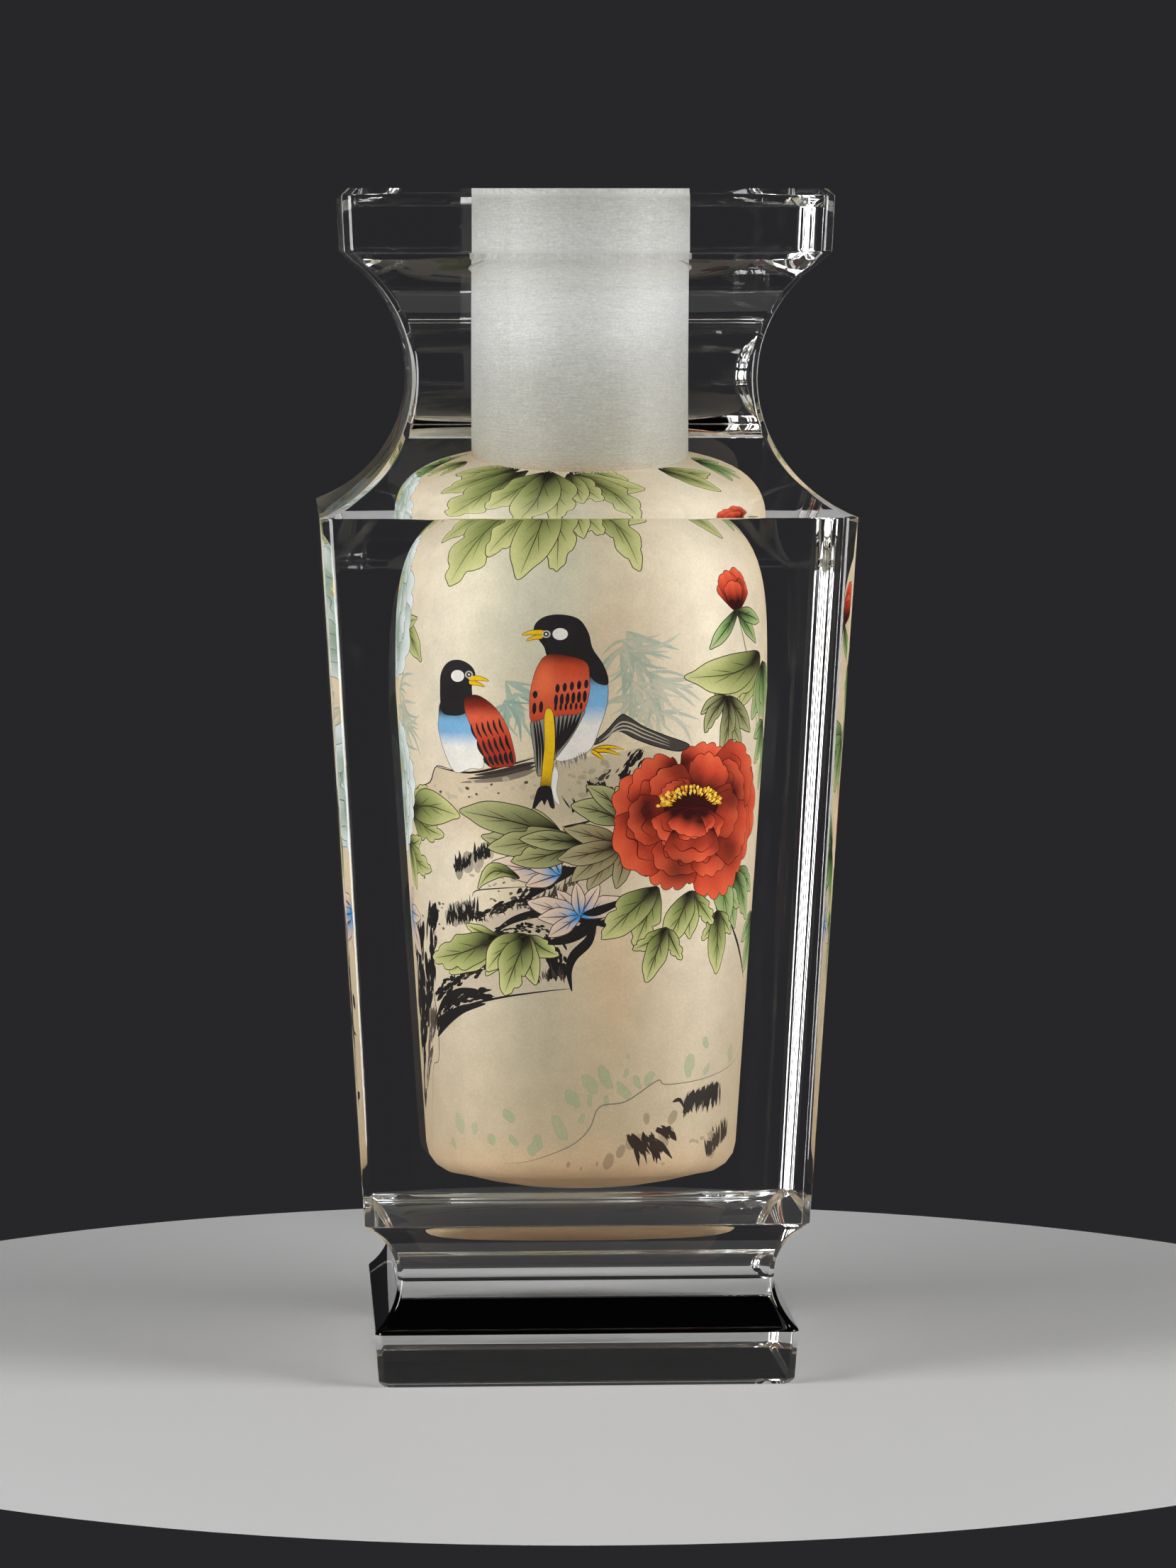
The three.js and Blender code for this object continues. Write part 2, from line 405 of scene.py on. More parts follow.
class Painting:
    """Flat shapes in painting order, cut into triangles that each take the colour of the topmost shape."""

    def __init__(self):
        self.points = []
        self.faces = []
        self.colours = []
        self.tones = []
        self.loose = []
        self.shape(self.border(), ground)

    def border(self):
        half = HALF_GIRTH
        columns = [mix(-half, half, i / CHAMBER_SIDES) for i in range(CHAMBER_SIDES + 1)]
        count = round((WALL_HIGH - WALL_LOW) / GRID_PITCH)
        rows = [mix(WALL_LOW, WALL_HIGH, i / count) for i in range(1, count)]
        low = [(x, WALL_LOW) for x in columns]
        high = [(x, WALL_HIGH) for x in reversed(columns)]
        return low + [(half, y) for y in rows] + high + [(-half, y) for y in reversed(rows)]

    def shape(self, outline, colour):
        """One flat shape; the part of it past the wall's edges is dropped."""
        half = HALF_GIRTH - 0.5
        low, high = WALL_LOW + 0.05, WALL_HIGH - 0.05
        if self.faces:
            outline = [(min(max(x, -half), half), min(max(y, low), high)) for x, y in outline]
        size = area(outline)
        if abs(size) < 0.004:
            return
        if size < 0:
            outline = outline[::-1]
        start = len(self.points)
        self.points += [Vector(p) for p in outline]
        self.faces.append(list(range(start, start + len(outline))))
        self.colours.append(colour if callable(colour) else lambda x, y: colour)
        self.tones.append(len(self.faces) if callable(colour) else colour)

    def figure(self, outline, colour, ink=INK, line=0.16, inside=2):
        """A shape with an ink line round it, and points inside it that carry its shading."""
        if area(outline) < 0:
            outline = outline[::-1]
        if line:
            self.shape(widened(outline, line), ink)
        self.shape(outline, colour)
        centre = [sum(p[k] for p in outline) / len(outline) for k in (0, 1)]
        number = len(self.faces) - 1
        for ring in range(inside):
            share = 1 - (ring + 1) / (inside + 1)
            for x, y in outline[ring % 2::2]:
                self.loose.append(((mix(centre[0], x, share), mix(centre[1], y, share)), number))

    def stroke(self, points, width, colour=INK, steps=5, heavy=0.5):
        """A brush stroke along a smooth line, tapered at both ends and heaviest at a share of its length."""
        line = curve(points, steps=steps) if len(points) > 2 else [
            tuple(mix(a, b, k / steps) for a, b in zip(*points)) for k in range(steps + 1)]
        left, right = [], []
        for i, (x, y) in enumerate(line):
            before, after = line[max(i - 1, 0)], line[min(i + 1, len(line) - 1)]
            dx, dy = after[0] - before[0], after[1] - before[1]
            length = math.hypot(dx, dy) or 1
            t = i / (len(line) - 1)
            rise = t / heavy if t < heavy else (1 - t) / (1 - heavy)
            half = width / 2 * (0.12 + 0.88 * math.sin(rise * math.pi / 2))
            left.append((x - dy / length * half, y + dx / length * half))
            right.append((x + dy / length * half, y - dx / length * half))
        self.shape(right + left[::-1], colour)

    def dab(self, centre, length, width, angle, colour, sides=12):
        """An oval touch of the brush."""
        place = Frame(centre, angle, length / 2, width / 2)
        turns = [2 * math.pi * i / sides for i in range(sides)]
        self.shape([place.out(math.cos(t), math.sin(t)) for t in turns], colour)

    def triangles(self):
        """Vertices (across, height), triangles, and three colours for each triangle."""
        rough, _, rough_faces, _, _, sources = delaunay_2d_cdt(self.points, [], self.faces, 1, 1e-4, True)
        tops = [self.topmost(source, middle(rough, face)) for face, source in zip(rough_faces, sources)]
        lines = self.kept_lines(rough_faces, tops)
        map_of_tops = BVHTree.FromPolygons([(x, y, 0) for x, y in rough], rough_faces)

        def top_at(place):
            hit = map_of_tops.ray_cast(Vector((place[0], place[1], 1)), Vector((0, 0, -1)))
            return tops[hit[2]] if hit[2] is not None else 0

        used = sorted({v for line in lines for v in line})
        number = {v: i for i, v in enumerate(used)}
        kept = [rough[v] for v in used]
        edges = [(number[a], number[b]) for a, b in lines]
        points, _, faces, _, _, _ = delaunay_2d_cdt(kept + self.inner_points(top_at), edges, [], 0, 1e-4,
                                                    False)
        shades = {}
        colours = []
        for face in faces:
            top = top_at(middle(points, face))
            for v in face:
                if (top, v) not in shades:
                    shades[top, v] = self.colours[top](*points[v])
            colours.append([shades[top, v] for v in face])
        return points, faces, colours

    def kept_lines(self, faces, tops):
        """The edges where the painting changes from one colour or shading to another."""
        sides = {}
        for face, top in zip(faces, tops):
            for a, b in zip(face, face[1:] + face[:1]):
                sides.setdefault((min(a, b), max(a, b)), []).append(self.tones[top])
        return [line for line, found in sides.items() if len(found) < 2 or found[0] != found[1]]

    def inner_points(self, top_at):
        """An even grid of points, and the points that carry a shape's shading where it shows."""
        half = HALF_GIRTH
        rows = round((WALL_HIGH - WALL_LOW) / GRID_PITCH)
        columns = round(2 * half / GRID_PITCH)
        found = []
        for j in range(1, rows):
            shift = 0.25 if j % 2 else 0.75
            y = mix(WALL_LOW, WALL_HIGH, j / rows)
            found += [Vector((mix(-half, half, (i + shift) / columns), y)) for i in range(columns)]
        for place, shape in self.loose:
            inside = abs(place[0]) < half - 0.5 and WALL_LOW + 0.1 < place[1] < WALL_HIGH - 0.1
            if inside and top_at(place) == shape:
                found.append(Vector(place))
        return found

    def topmost(self, source, place):
        """The last painted of some shapes that really holds a place."""
        for number in sorted(source, reverse=True):
            if number == 0 or holds([self.points[k] for k in self.faces[number]], place):
                return number
        return 0


# Leaves

SPRING_LEAF = {"dark": linear("1b1b12"), "mid": linear("939c5b"), "light": linear("d0cf8f"),
               "ink": linear("3c3421")}
OLIVE_LEAF = {"dark": linear("17150f"), "mid": linear("86895c"), "light": linear("b2b07d"),
              "ink": linear("33291b")}
BROWN_LEAF = {"dark": linear("241c14"), "mid": linear("92845f"), "light": linear("aea47e"),
              "ink": linear("3f3122")}
FRESH_LEAF = {"dark": linear("18200f"), "mid": linear("7b9a5a"), "light": linear("b7c48c"),
              "ink": linear("33371f")}

OVAL_SIDE = ((0.1, 0.42), (0.3, 0.86), (0.52, 1.0), (0.74, 0.78), (0.9, 0.38))
LOBED_SIDE = ((0.08, 0.3), (0.22, 0.72), (0.4, 1.0), (0.53, 0.98), (0.59, 0.76), (0.62, 0.68), (0.72, 0.84),
              (0.82, 0.66), (0.85, 0.42), (0.93, 0.36), (0.98, 0.14))


def leaf(art, base, tip, width, tints, lobed=False, bend=0.0, smudge=0.62, seed=0):
    """A leaf with a dark base, an ink line round it and a midrib; a lobed one is notched towards its tip."""
    rng = random.Random(seed)
    length = math.dist(base, tip)
    place = Frame(base, math.atan2(tip[1] - base[1], tip[0] - base[0]), length, width / 2, bend)
    sides = []
    for sign in (-1, 1):
        edge = LOBED_SIDE if lobed and rng.random() < 0.75 else OVAL_SIDE
        sides.append([(u + rng.uniform(-0.02, 0.02), sign * w * rng.uniform(0.88, 1.1)) for u, w in edge])
    outline = [(0.0, 0.0)] + sides[0] + [(1.0, 0.0)] + sides[1][::-1]
    warm = rng.uniform(0.0, 0.45)

    def colour(x, y):
        u, w = place.back(x, y)
        stops = [(0.2, tints["dark"]), (0.42, blend_colour(tints["dark"], tints["mid"], 0.6)),
                 (smudge, tints["mid"]), (1.0, tints["light"])]
        return blend_colour(ramp(stops, u + 0.3 * abs(w)), tints["light"], warm * max(w, 0))

    smooth = curve([place.out(u, w) for u, w in outline], closed=True, steps=4)
    art.figure(smooth, colour, tints["ink"], 0.19)
    art.stroke([place.out(0.04, 0), place.out(0.5, 0.02), place.out(0.95, 0)], 0.3, tints["ink"], 4, 0.2)
    starts = [start for start, shortest in ((0.28, 8), (0.5, 11)) if length > shortest]
    for start in starts:
        for side in (-1, 1):
            vein = [place.out(start, 0.03 * side), place.out(start + 0.24, (0.86 - start) * side)]
            art.stroke(vein, 0.17, tints["ink"], 3, 0.3)


def leaf_group(art, joint, tips, tints, wide=0.42, seed=0, lobed=True):
    """Leaves from one joint to their tips, the last one on top."""
    rng = random.Random(seed)
    for k, tip in enumerate(tips):
        width = math.dist(joint, tip) * wide * rng.uniform(0.9, 1.12)
        leaf(art, joint, tip, width, tints, lobed and k % 3 != 2, rng.uniform(-0.1, 0.1), seed=rng.random())


def leaf_spray(art, joint, angle, count, spread, length, tints, seed=0, lobed=True):
    """Leaves fanned out from one joint, the outer ones first."""
    rng = random.Random(seed)
    tips = []
    for i in sorted(range(count), key=lambda i: -abs(i - (count - 1) / 2)):
        share = i / (count - 1) - 0.5
        reach = length * (1 - 0.35 * abs(share)) * rng.uniform(0.88, 1.08)
        turn = angle + spread * share + rng.uniform(-0.08, 0.08)
        tips.append((joint[0] + reach * math.cos(turn), joint[1] + reach * math.sin(turn)))
    leaf_group(art, joint, tips, tints, 0.4, rng.random(), lobed)


# Flowers

RED_PETAL = {"dark": linear("33090a"), "mid": linear("d04a2f"), "light": linear("eb6642"),
             "ink": linear("4a0f0b")}
WHITE_PETAL = {"dark": linear("93ab94"), "mid": linear("cdd8d2"), "light": linear("eceff0"),
               "ink": linear("626a58")}
BLUE_PETAL = {"dark": linear("2c9be0"), "mid": linear("dcc3ae"), "light": linear("e6d0bd"),
              "ink": linear("57423a")}


def petal(art, base, angle, length, width, tints, lobes=4, folds=(), seed=0, line=0.15):
    """A fan-shaped petal with a lobed outer edge, dark at its base and in the folds near it."""
    rng = random.Random(seed)
    place = Frame(base, angle, length, width / 2, rng.uniform(-0.1, 0.1))
    phase = rng.uniform(0, 1)
    lip = length > 6 and rng.random() < 0.6
    edge = []
    for k in range(5 * lobes + 1):
        t = mix(-1, 1, k / (5 * lobes))
        crown = math.sqrt(1 - 0.86 * t * t)
        wave = abs(math.sin(math.pi * (lobes * (t + 1) / 2 + phase))) ** 0.6
        edge.append((0.5 + 0.42 * crown + 0.07 * wave, t))
    outline = [(0.0, -0.1), (0.26, -0.62)] + edge + [(0.26, 0.62), (0.0, 0.1)]

    def colour(x, y):
        u, w = place.back(x, y)
        streak = 0.05 * math.sin(8 * w + 6 * phase)
        stops = [(0.34, tints["dark"]), (0.7, tints["mid"]), (0.97, tints["light"])]
        tone = ramp(stops, u + streak)
        shade = sum(bump(x, y, spot, (reach, reach)) for spot, reach in folds)
        if lip:
            shade += 0.4 * math.exp(-((u - 0.66) / 0.1) ** 2)
        return blend_colour(tone, tints["dark"], min(0.76 * shade, 0.92))

    smooth = curve([place.out(u, w) for u, w in outline], closed=True, steps=2)
    art.figure(smooth, colour, tints["ink"], line, 4)
    if lip:
        crease = [(0.62, -0.72), (0.76, -0.4), (0.7, -0.05), (0.79, 0.3), (0.66, 0.7)]
        art.stroke([place.out(u, w) for u, w in crease], 0.24, tints["ink"], 4, 0.5)


def peony(art, centre, size, tints, seed=0, stamens=True):
    """A full flower seen a little from above: rings of petals, a dark hollow, stamens and a cup."""
    rng = random.Random(seed)
    heart = (centre[0] - 0.12 * size, centre[1] + 0.09 * size)
    folds = [((heart[0] + 0.1 * size, heart[1] + 0.2 * size), 0.2 * size)]
    for turn, far, reach in ((3.1, 0.52, 0.2), (0.3, 0.6, 0.22), (5.6, 0.72, 0.2), (4.5, 0.68, 0.2),
                             (1.9, 0.55, 0.2)):
        folds.append(((heart[0] + far * size * math.cos(turn), heart[1] + far * size * math.sin(turn)),
                      reach * size))
    for count, reach, wide, start in ((9, 1.0, 0.8, 0.15), (7, 0.8, 0.78, 0.5), (6, 0.58, 0.8, 0.1)):
        for k in range(count):
            turn = start + 2 * math.pi * (k * 4 % count) / count + rng.uniform(-0.15, 0.15)
            edge = (centre[0] + 1.04 * size * math.cos(turn), centre[1] + 0.88 * size * math.sin(turn))
            far = Vector(edge) - Vector(heart)
            length = far.length * reach * rng.uniform(0.92, 1.06)
            angle = math.atan2(far.y, far.x)
            petal(art, heart, angle, length, wide * length, tints, rng.choice((3, 4, 5)), folds,
                  rng.random())
    art.dab((heart[0], heart[1] + 0.06 * size), size * 0.66, size * 0.36, 0, tints["dark"], 24)
    if stamens:
        add_stamens(art, (heart[0], heart[1] + 0.06 * size), (0.36 * size, 0.2 * size), rng)
    low = (heart[0], heart[1] + 0.02 * size)
    folds = folds[3:5]
    for turn, reach, wide in ((0.62, 0.5, 1.15), (-0.65, 0.5, 1.2), (0.0, 0.62, 1.15), (0.4, 0.34, 1.5),
                              (-0.3, 0.3, 1.6)):
        length = size * reach * rng.uniform(0.95, 1.05)
        petal(art, low, turn - math.pi / 2, length, length * wide, tints, 4, folds, rng.random())


def add_stamens(art, heart, reach, rng):
    """Yellow stamens with red gaps, fanned out behind the cup."""
    gold, pale = linear("dc9a17"), linear("f4d45a")
    for far, count, size in ((1.06, 26, 0.85), (0.9, 22, 0.75), (0.76, 16, 0.65)):
        for k in range(count):
            turn = mix(0.08, math.pi - 0.02, (k + 0.5) / count) + rng.uniform(-0.02, 0.02)
            share = far * rng.uniform(0.9, 1.1)
            tip = (heart[0] + share * reach[0] * math.cos(turn),
                   heart[1] + share * reach[1] * math.sin(turn))
            near = (mix(heart[0], tip[0], 0.84), mix(heart[1], tip[1], 0.8))
            art.stroke([near, tip], 0.3, gold, 3, 0.7)
            art.dab(tip, size, size * 0.8, turn, pale if k % 3 else gold, 8)


def bud(art, base, size, tints, seed=0):
    """An upright bud on its stem's end: closed petals above two long sepals."""
    rng = random.Random(seed)
    for turn, share in ((-0.5, 0.78), (0.5, 0.8), (-0.2, 0.98), (0.25, 0.92), (0.0, 0.68)):
        angle = math.pi / 2 + turn
        petal(art, base, angle, size * share, size * 0.6, tints, 2, (), rng.random())
    for dx, dy in ((-0.78, -0.82), (0.72, -0.7), (0.98, -0.24)):
        leaf(art, base, (base[0] + dx * size, base[1] + dy * size), size * 0.32, FRESH_LEAF,
             seed=rng.random())


def lily(art, base, tips, seed=0):
    """A pale flower of pointed petals with a blue throat."""
    rng = random.Random(seed)
    for tip in tips:
        leaf(art, base, tip, math.dist(base, tip) * 0.4, BLUE_PETAL, smudge=0.7, seed=rng.random())


# Bamboo, rock and bark

BAMBOO_GREEN = linear("6f9f95")


def washed(tint, strength):
    """A thin wash of a colour over the ground."""
    return lambda x, y: blend_colour(ground(x, y), tint, strength)


def bamboo_clump(art, centre, spread, sprays, length, seed=0, strength=0.55):
    """Soft thin blades that hang in fans from unseen stems."""
    rng = random.Random(seed)
    for k in range(sprays):
        joint = (centre[0] + rng.uniform(-1, 1) * spread[0], centre[1] + rng.uniform(-1, 1) * spread[1])
        lean = rng.uniform(-1.1, -0.2) if k % 4 else rng.uniform(-2.5, -1.8)
        for i in range(6):
            turn = lean + mix(-0.7, 0.6, i / 5) + rng.uniform(-0.1, 0.1)
            reach = length * rng.uniform(0.6, 1.1)
            place = Frame(joint, turn, reach, 1, rng.uniform(-0.15, 0.15))
            blade = [place.out(0, 0), place.out(0.5, 0), place.out(1, 0)]
            tint = washed(BAMBOO_GREEN, strength * rng.uniform(0.55, 1.1))
            art.stroke(blade, max(reach * 0.09, 0.6), tint, 4, 0.35)


def dry_brush(art, path, width, count, length, seed=0, tint=BLACK, thick=(0.2, 0.8)):
    """Broken strokes along a path, as of a dry brush dragged over rock or bark."""
    rng = random.Random(seed)
    line = curve(path, steps=8)
    for _ in range(count):
        i = rng.randrange(len(line) - 1)
        (x, y), (nx, ny) = line[i], line[i + 1]
        place = Frame((x, y), math.atan2(ny - y, nx - x), 1, 1)
        side = rng.gauss(0, 0.45) * width
        reach = length * rng.uniform(0.35, 1.2)
        turn = rng.uniform(-0.25, 0.25)
        points = [place.out(-reach / 2, side - turn * reach / 2),
                  place.out(0, side + rng.uniform(-0.2, 0.2)),
                  place.out(reach / 2, side + turn * reach / 2)]
        art.stroke(points, rng.uniform(*thick), tint, 3, rng.uniform(0.3, 0.7))


def hatch(art, path, lean, count, length, seed=0, tint=BLACK, thick=(0.2, 0.6)):
    """Short strokes that stand off a path, as tufts and cracks."""
    rng = random.Random(seed)
    line = curve(path, steps=8)
    for _ in range(count):
        x, y = line[rng.randrange(len(line))]
        turn = lean + rng.uniform(-0.3, 0.3)
        reach = length * rng.uniform(0.4, 1.2)
        x, y = x + rng.uniform(-0.8, 0.8), y + rng.uniform(-0.6, 0.6)
        end = (x + reach * math.cos(turn), y + reach * math.sin(turn))
        art.stroke([(x, y), end], rng.uniform(*thick), tint, 3, 0.3)


def smear(art, path, width, count, tint, strength, seed=0):
    """Overlapping thin washes along a path, under the brush marks of tufts and cracks."""
    rng = random.Random(seed)
    line = curve(path, steps=8)
    for k in range(count):
        x, y = line[round(k / (count - 1) * (len(line) - 1))]
        place = (x + rng.uniform(-0.6, 0.6), y + rng.uniform(-0.3, 0.6) * width)
        art.dab(place, width * rng.uniform(0.9, 1.5), width * rng.uniform(0.5, 0.9), rng.uniform(0.8, 2.0),
                washed(tint, strength * rng.uniform(0.6, 1.2)), 10)


def speckle(art, centre, spread, count, size, tint, strength, seed=0):
    """Scattered soft spots."""
    rng = random.Random(seed)
    for _ in range(count):
        place = (centre[0] + rng.gauss(0, 0.5) * spread[0], centre[1] + rng.gauss(0, 0.5) * spread[1])
        length = size * rng.uniform(0.6, 1.3)
        art.dab(place, length, length * rng.uniform(0.45, 0.8), rng.uniform(-0.6, 0.6),
                washed(tint, strength), 8)


# Birds

HOOD = linear("262324")
BEAK = linear("e8b90f")
WING_RED = linear("e06242")
SKY_BLUE = linear("7fb4dc")
BELLY_WHITE = linear("ece8e0")
FEATHER_GREY = linear("8d887e")
SOFT_INK = linear("6f6c6c")


def by_height(origin, stops):
    """A colouring that changes with the height above a bird's feet."""
    return lambda x, y: ramp(stops, y - origin[1])


def local(origin, facing):
    """Turns a bird's own points into the painting's, looking left (1) or right (-1)."""
    return lambda points: [(origin[0] + facing * x, origin[1] + y) for x, y in points]


def bird_face(art, put, eye, cheek, beak):
    """Cheek patch, ringed eye and open two-part beak of a bird that looks left in its own frame."""
    x, y = beak
    upper = [(x + 1.2, y + 0.7), (x - 1.2, y + 0.6), (x - 2.9, y - 0.3), (x - 1.2, y - 0.2),
             (x + 1.0, y - 0.2)]
    lower = [(x + 1.0, y - 0.2), (x - 0.8, y - 0.6), (x - 2.0, y - 1.5), (x - 0.6, y - 1.2),
             (x + 1.0, y - 1.0)]
    plume(art, put, lower, BEAK, INK, 0.1, 0, 3)
    plume(art, put, upper, BEAK, INK, 0.1, 0, 3)
    (x, y), = put([cheek])
    art.dab((x, y), 3.0, 2.5, 0, BELLY_WHITE, 18)
    (x, y), = put([eye])
    art.dab((x, y), 1.7, 1.6, 0, linear("c4bfb2"), 14)
    art.dab((x, y), 1.1, 1.05, 0, HOOD, 12)
    art.dab((x, y), 0.45, 0.45, 0, BELLY_WHITE, 8)


def plume(art, put, points, colour, ink, line, inside, steps=5):
    """A smooth closed part of a bird, given in the bird's own frame."""
    art.figure(curve(put(points), True, steps), colour, ink, line, inside)


def scallops(art, put, start, end, count, length, width, lean, tint=HOOD):
    """A row of rounded feather marks between two places."""
    for k in range(count):
        t = k / max(count - 1, 1)
        (x, y), = put([(mix(start[0], end[0], t), mix(start[1], end[1], t))])
        (rx, ry), (ox, oy) = put([(math.cos(lean), math.sin(lean)), (0, 0)])
        art.dab((x, y), length, width, math.atan2(ry - oy, rx - ox), tint, 12)


def feather_lines(art, put, roots, tips, count, width, tint=HOOD, bow=0.25):
    """Long feather marks from one line of places to another."""
    for k in range(count):
        t = k / (count - 1)
        root = tuple(mix(roots[0][i], roots[1][i], t) for i in (0, 1))
        tip = tuple(mix(tips[0][i], tips[1][i], t) for i in (0, 1))
        waist = (mix(root[0], tip[0], 0.5) + bow, mix(root[1], tip[1], 0.5))
        art.stroke(put([root, waist, tip]), width, tint, 5, 0.45)


def bird_from_behind(art, origin, facing=1):
    """A songbird on its perch, seen from behind with its head turned to the side and its tail down."""
    put = local(origin, facing)
    body = [(4.8, 18), (6.1, 15), (6.0, 10.4), (4.6, 5.6), (2.9, 1.2), (-0.6, -0.8), (-3.8, -1.2),
            (-5.2, 2), (-5.2, 9), (-1, 16)]
    belly = by_height(origin, [(6.5, BELLY_WHITE), (10, SKY_BLUE), (14.0, SKY_BLUE), (16.6, HOOD)])
    plume(art, put, body, belly, SOFT_INK, 0.14, 3)
    hatch(art, put([(-3.2, -0.9), (-0.4, -0.6), (2.4, 0.8)]), -1.5, 22, 1.7, 3, linear("77716a"),
          (0.1, 0.24))
    nape = [(-8.0, 25.4), (-7.8, 27.4), (-5.8, 28.9), (-2.6, 29.2), (0.6, 28.2), (2.4, 25.4), (3.2, 22.2),
            (5.2, 19.0), (6.2, 16.2), (6.0, 14.6), (3.6, 15.4), (0.8, 19.2), (-2.6, 20.6), (-5.4, 20.6),
            (-6.2, 22.6)]
    plume(art, put, nape, HOOD, INK, 0.06, 1)
    back = [(-5.6, 20.8), (-7.6, 18.0), (-8.7, 13.6), (-9.0, 9.6), (-8.6, 7.0), (-6.4, 7.6), (-3.5, 8.2),
            (1.0, 8.8), (2.4, 12.0), (2.6, 15.6), (2.0, 19.2), (-1.8, 20.6)]

    def red_back(x, y):
        v = y - origin[1]
        stops = [(6, linear("bd4026")), (14, WING_RED), (18.5, linear("c54a2c")), (21, linear("4a1a12"))]
        return blend_colour(ramp(stops, v), linear("f07a4c"),
                            0.7 * bump(x - origin[0], v, (-6.2 * facing, 15.5), (2.2, 4)))

    flight = [(-8.6, 7.6), (-8.3, 1.0), (-7.6, -4.4), (-6.0, -3.0), (-4.0, -0.6), (-1.4, 3.0), (0.9, 7.2),
              (1.4, 9.6), (-4.0, 9.0)]
    plume(art, put, flight, FEATHER_GREY, INK, 0.12, 1, 4)
    feather_lines(art, put, ((-4.2, 8.4), (1.1, 9.0)), ((-5.0, -1.6), (-2.2, 2.4)), 7, 0.62)
    feather_lines(art, put, ((-8.3, 7.6), (-7.2, 7.6)), ((-7.7, -4.0), (-6.6, -2.4)), 3, 0.5)
    plume(art, put, back, red_back, linear("5a2a1e"), 0.1, 3)
    for start, end, count, length, width in (
            ((-3.6, 13.9), (2.0, 14.8), 5, 1.9, 0.85),
            ((-3.9, 11.4), (1.7, 12.2), 6, 2.5, 0.8),
            ((-4.0, 9.9), (1.0, 10.2), 6, 1.5, 0.55),
            ((-7.9, 12.6), (-7.9, 12.6), 1, 1.6, 0.95),
            ((-8.1, 9.7), (-6.8, 10.0), 2, 2.5, 0.8)):
        scallops(art, put, start, end, count, length, width, 1.5)
    tail = [(-5.7, 9.6), (-4.5, 8.6), (-4.2, 2), (-4.9, -4.4), (-5.4, -7.2), (-7.0, -7.2), (-6.8, -4.0),
            (-6.2, 2.0), (-6.2, 7.4)]
    yellow = by_height(origin, [(-7.4, HOOD), (-5.4, linear("c79a14")), (-3.4, BEAK),
                                (9, linear("efc62c"))])
    under = [(-4.4, -2.6), (-3.6, -4.0), (-4.0, -7.6), (-3.3, -10.4), (-4.3, -9.6), (-5.0, -6.4)]
    plume(art, put, under, BELLY_WHITE, linear("8a857c"), 0.1, 0, 4)
    plume(art, put, tail, yellow, INK, 0.1, 2, 4)
    fork = [(-5.2, -6.8), (-4.7, -9.0), (-4.4, -11.2), (-5.2, -11.0), (-5.8, -9.4), (-6.4, -10.6),
            (-7.0, -9.6), (-8.8, -11.8), (-8.2, -8.8), (-7.3, -6.8)]
    plume(art, put, fork, HOOD, INK, 0.05, 0, 4)
    bird_face(art, put, (-5.8, 25.2), (-3.1, 25.2), (-7.6, 25.3))


def bird_from_side(art, origin, facing=-1):
    """A songbird sitting upright and half turned away, its folded wing towards the viewer."""
    put = local(origin, facing)
    body = [(4.6, 14.6), (5.7, 11.2), (5.9, 8.4), (4.5, 3.6), (2.2, -0.2), (-1.4, 0.6), (-4.2, 1.2),
            (-3.2, 8.0), (-0.8, 13.0)]
    belly = by_height(origin, [(5.2, BELLY_WHITE), (8.2, SKY_BLUE), (11.0, SKY_BLUE), (12.8, HOOD)])
    plume(art, put, body, belly, SOFT_INK, 0.13, 3)
    hood = [(-3.0, 20.3), (-2.0, 22.2), (0.4, 23.3), (3.0, 22.8), (4.7, 20.6), (5.0, 17.4), (4.8, 12.6),
            (2.6, 11.7), (-0.4, 12.1), (-2.2, 14.6), (-2.3, 18.2)]
    plume(art, put, hood, HOOD, INK, 0.06, 1)
    wing = [(-1.0, 15.4), (-3.6, 15.9), (-6.9, 13.4), (-9.2, 9.2), (-10.3, 4.8), (-10.5, 1.7), (-8.2, 1.0),
            (-5.2, 1.2), (-4.0, 4.4), (-2.2, 8.6), (-0.7, 12.8)]
    red_wing = by_height(origin, [(1, linear("a03320")), (6, linear("b83c26")), (11.4, WING_RED),
                                  (13.6, linear("8a2c1d")), (16, linear("35140f"))])
    plume(art, put, wing, red_wing, linear("4c241b"), 0.1, 3)
    for roots, tips, width in (
            (((-1.8, 10.0), (-7.6, 11.2)), ((-3.0, 6.6), (-8.6, 8.0)), 0.5),
            (((-3.0, 6.4), (-8.8, 7.8)), ((-4.4, 3.0), (-9.8, 4.4)), 0.6),
            (((-4.4, 3.2), (-9.8, 4.4)), ((-5.4, 1.2), (-10.2, 1.6)), 0.8)):
        feather_lines(art, put, roots, tips, 6, width)
    bird_face(art, put, (-1.7, 20.3), (0.8, 20.0), (-2.9, 19.3))


def foot(art, base):
    """Yellow toes laid along the perch."""
    for dx, dy, bend in ((6.6, 0.2, 0.7), (6.0, -1.0, 0.5), (2.6, -2.0, 0.2)):
        path = [base, (base[0] + dx * 0.5, base[1] + dy * 0.5 + bend), (base[0] + dx, base[1] + dy)]
        art.stroke(path, 1.0, INK, 5, 0.3)
        art.stroke(path, 0.66, BEAK, 5, 0.3)


# The picture, from the farthest things to the nearest

STONE = linear("b9ad92")
WARM_STONE = linear("d8c4a6")
BARK = linear("5d5148")


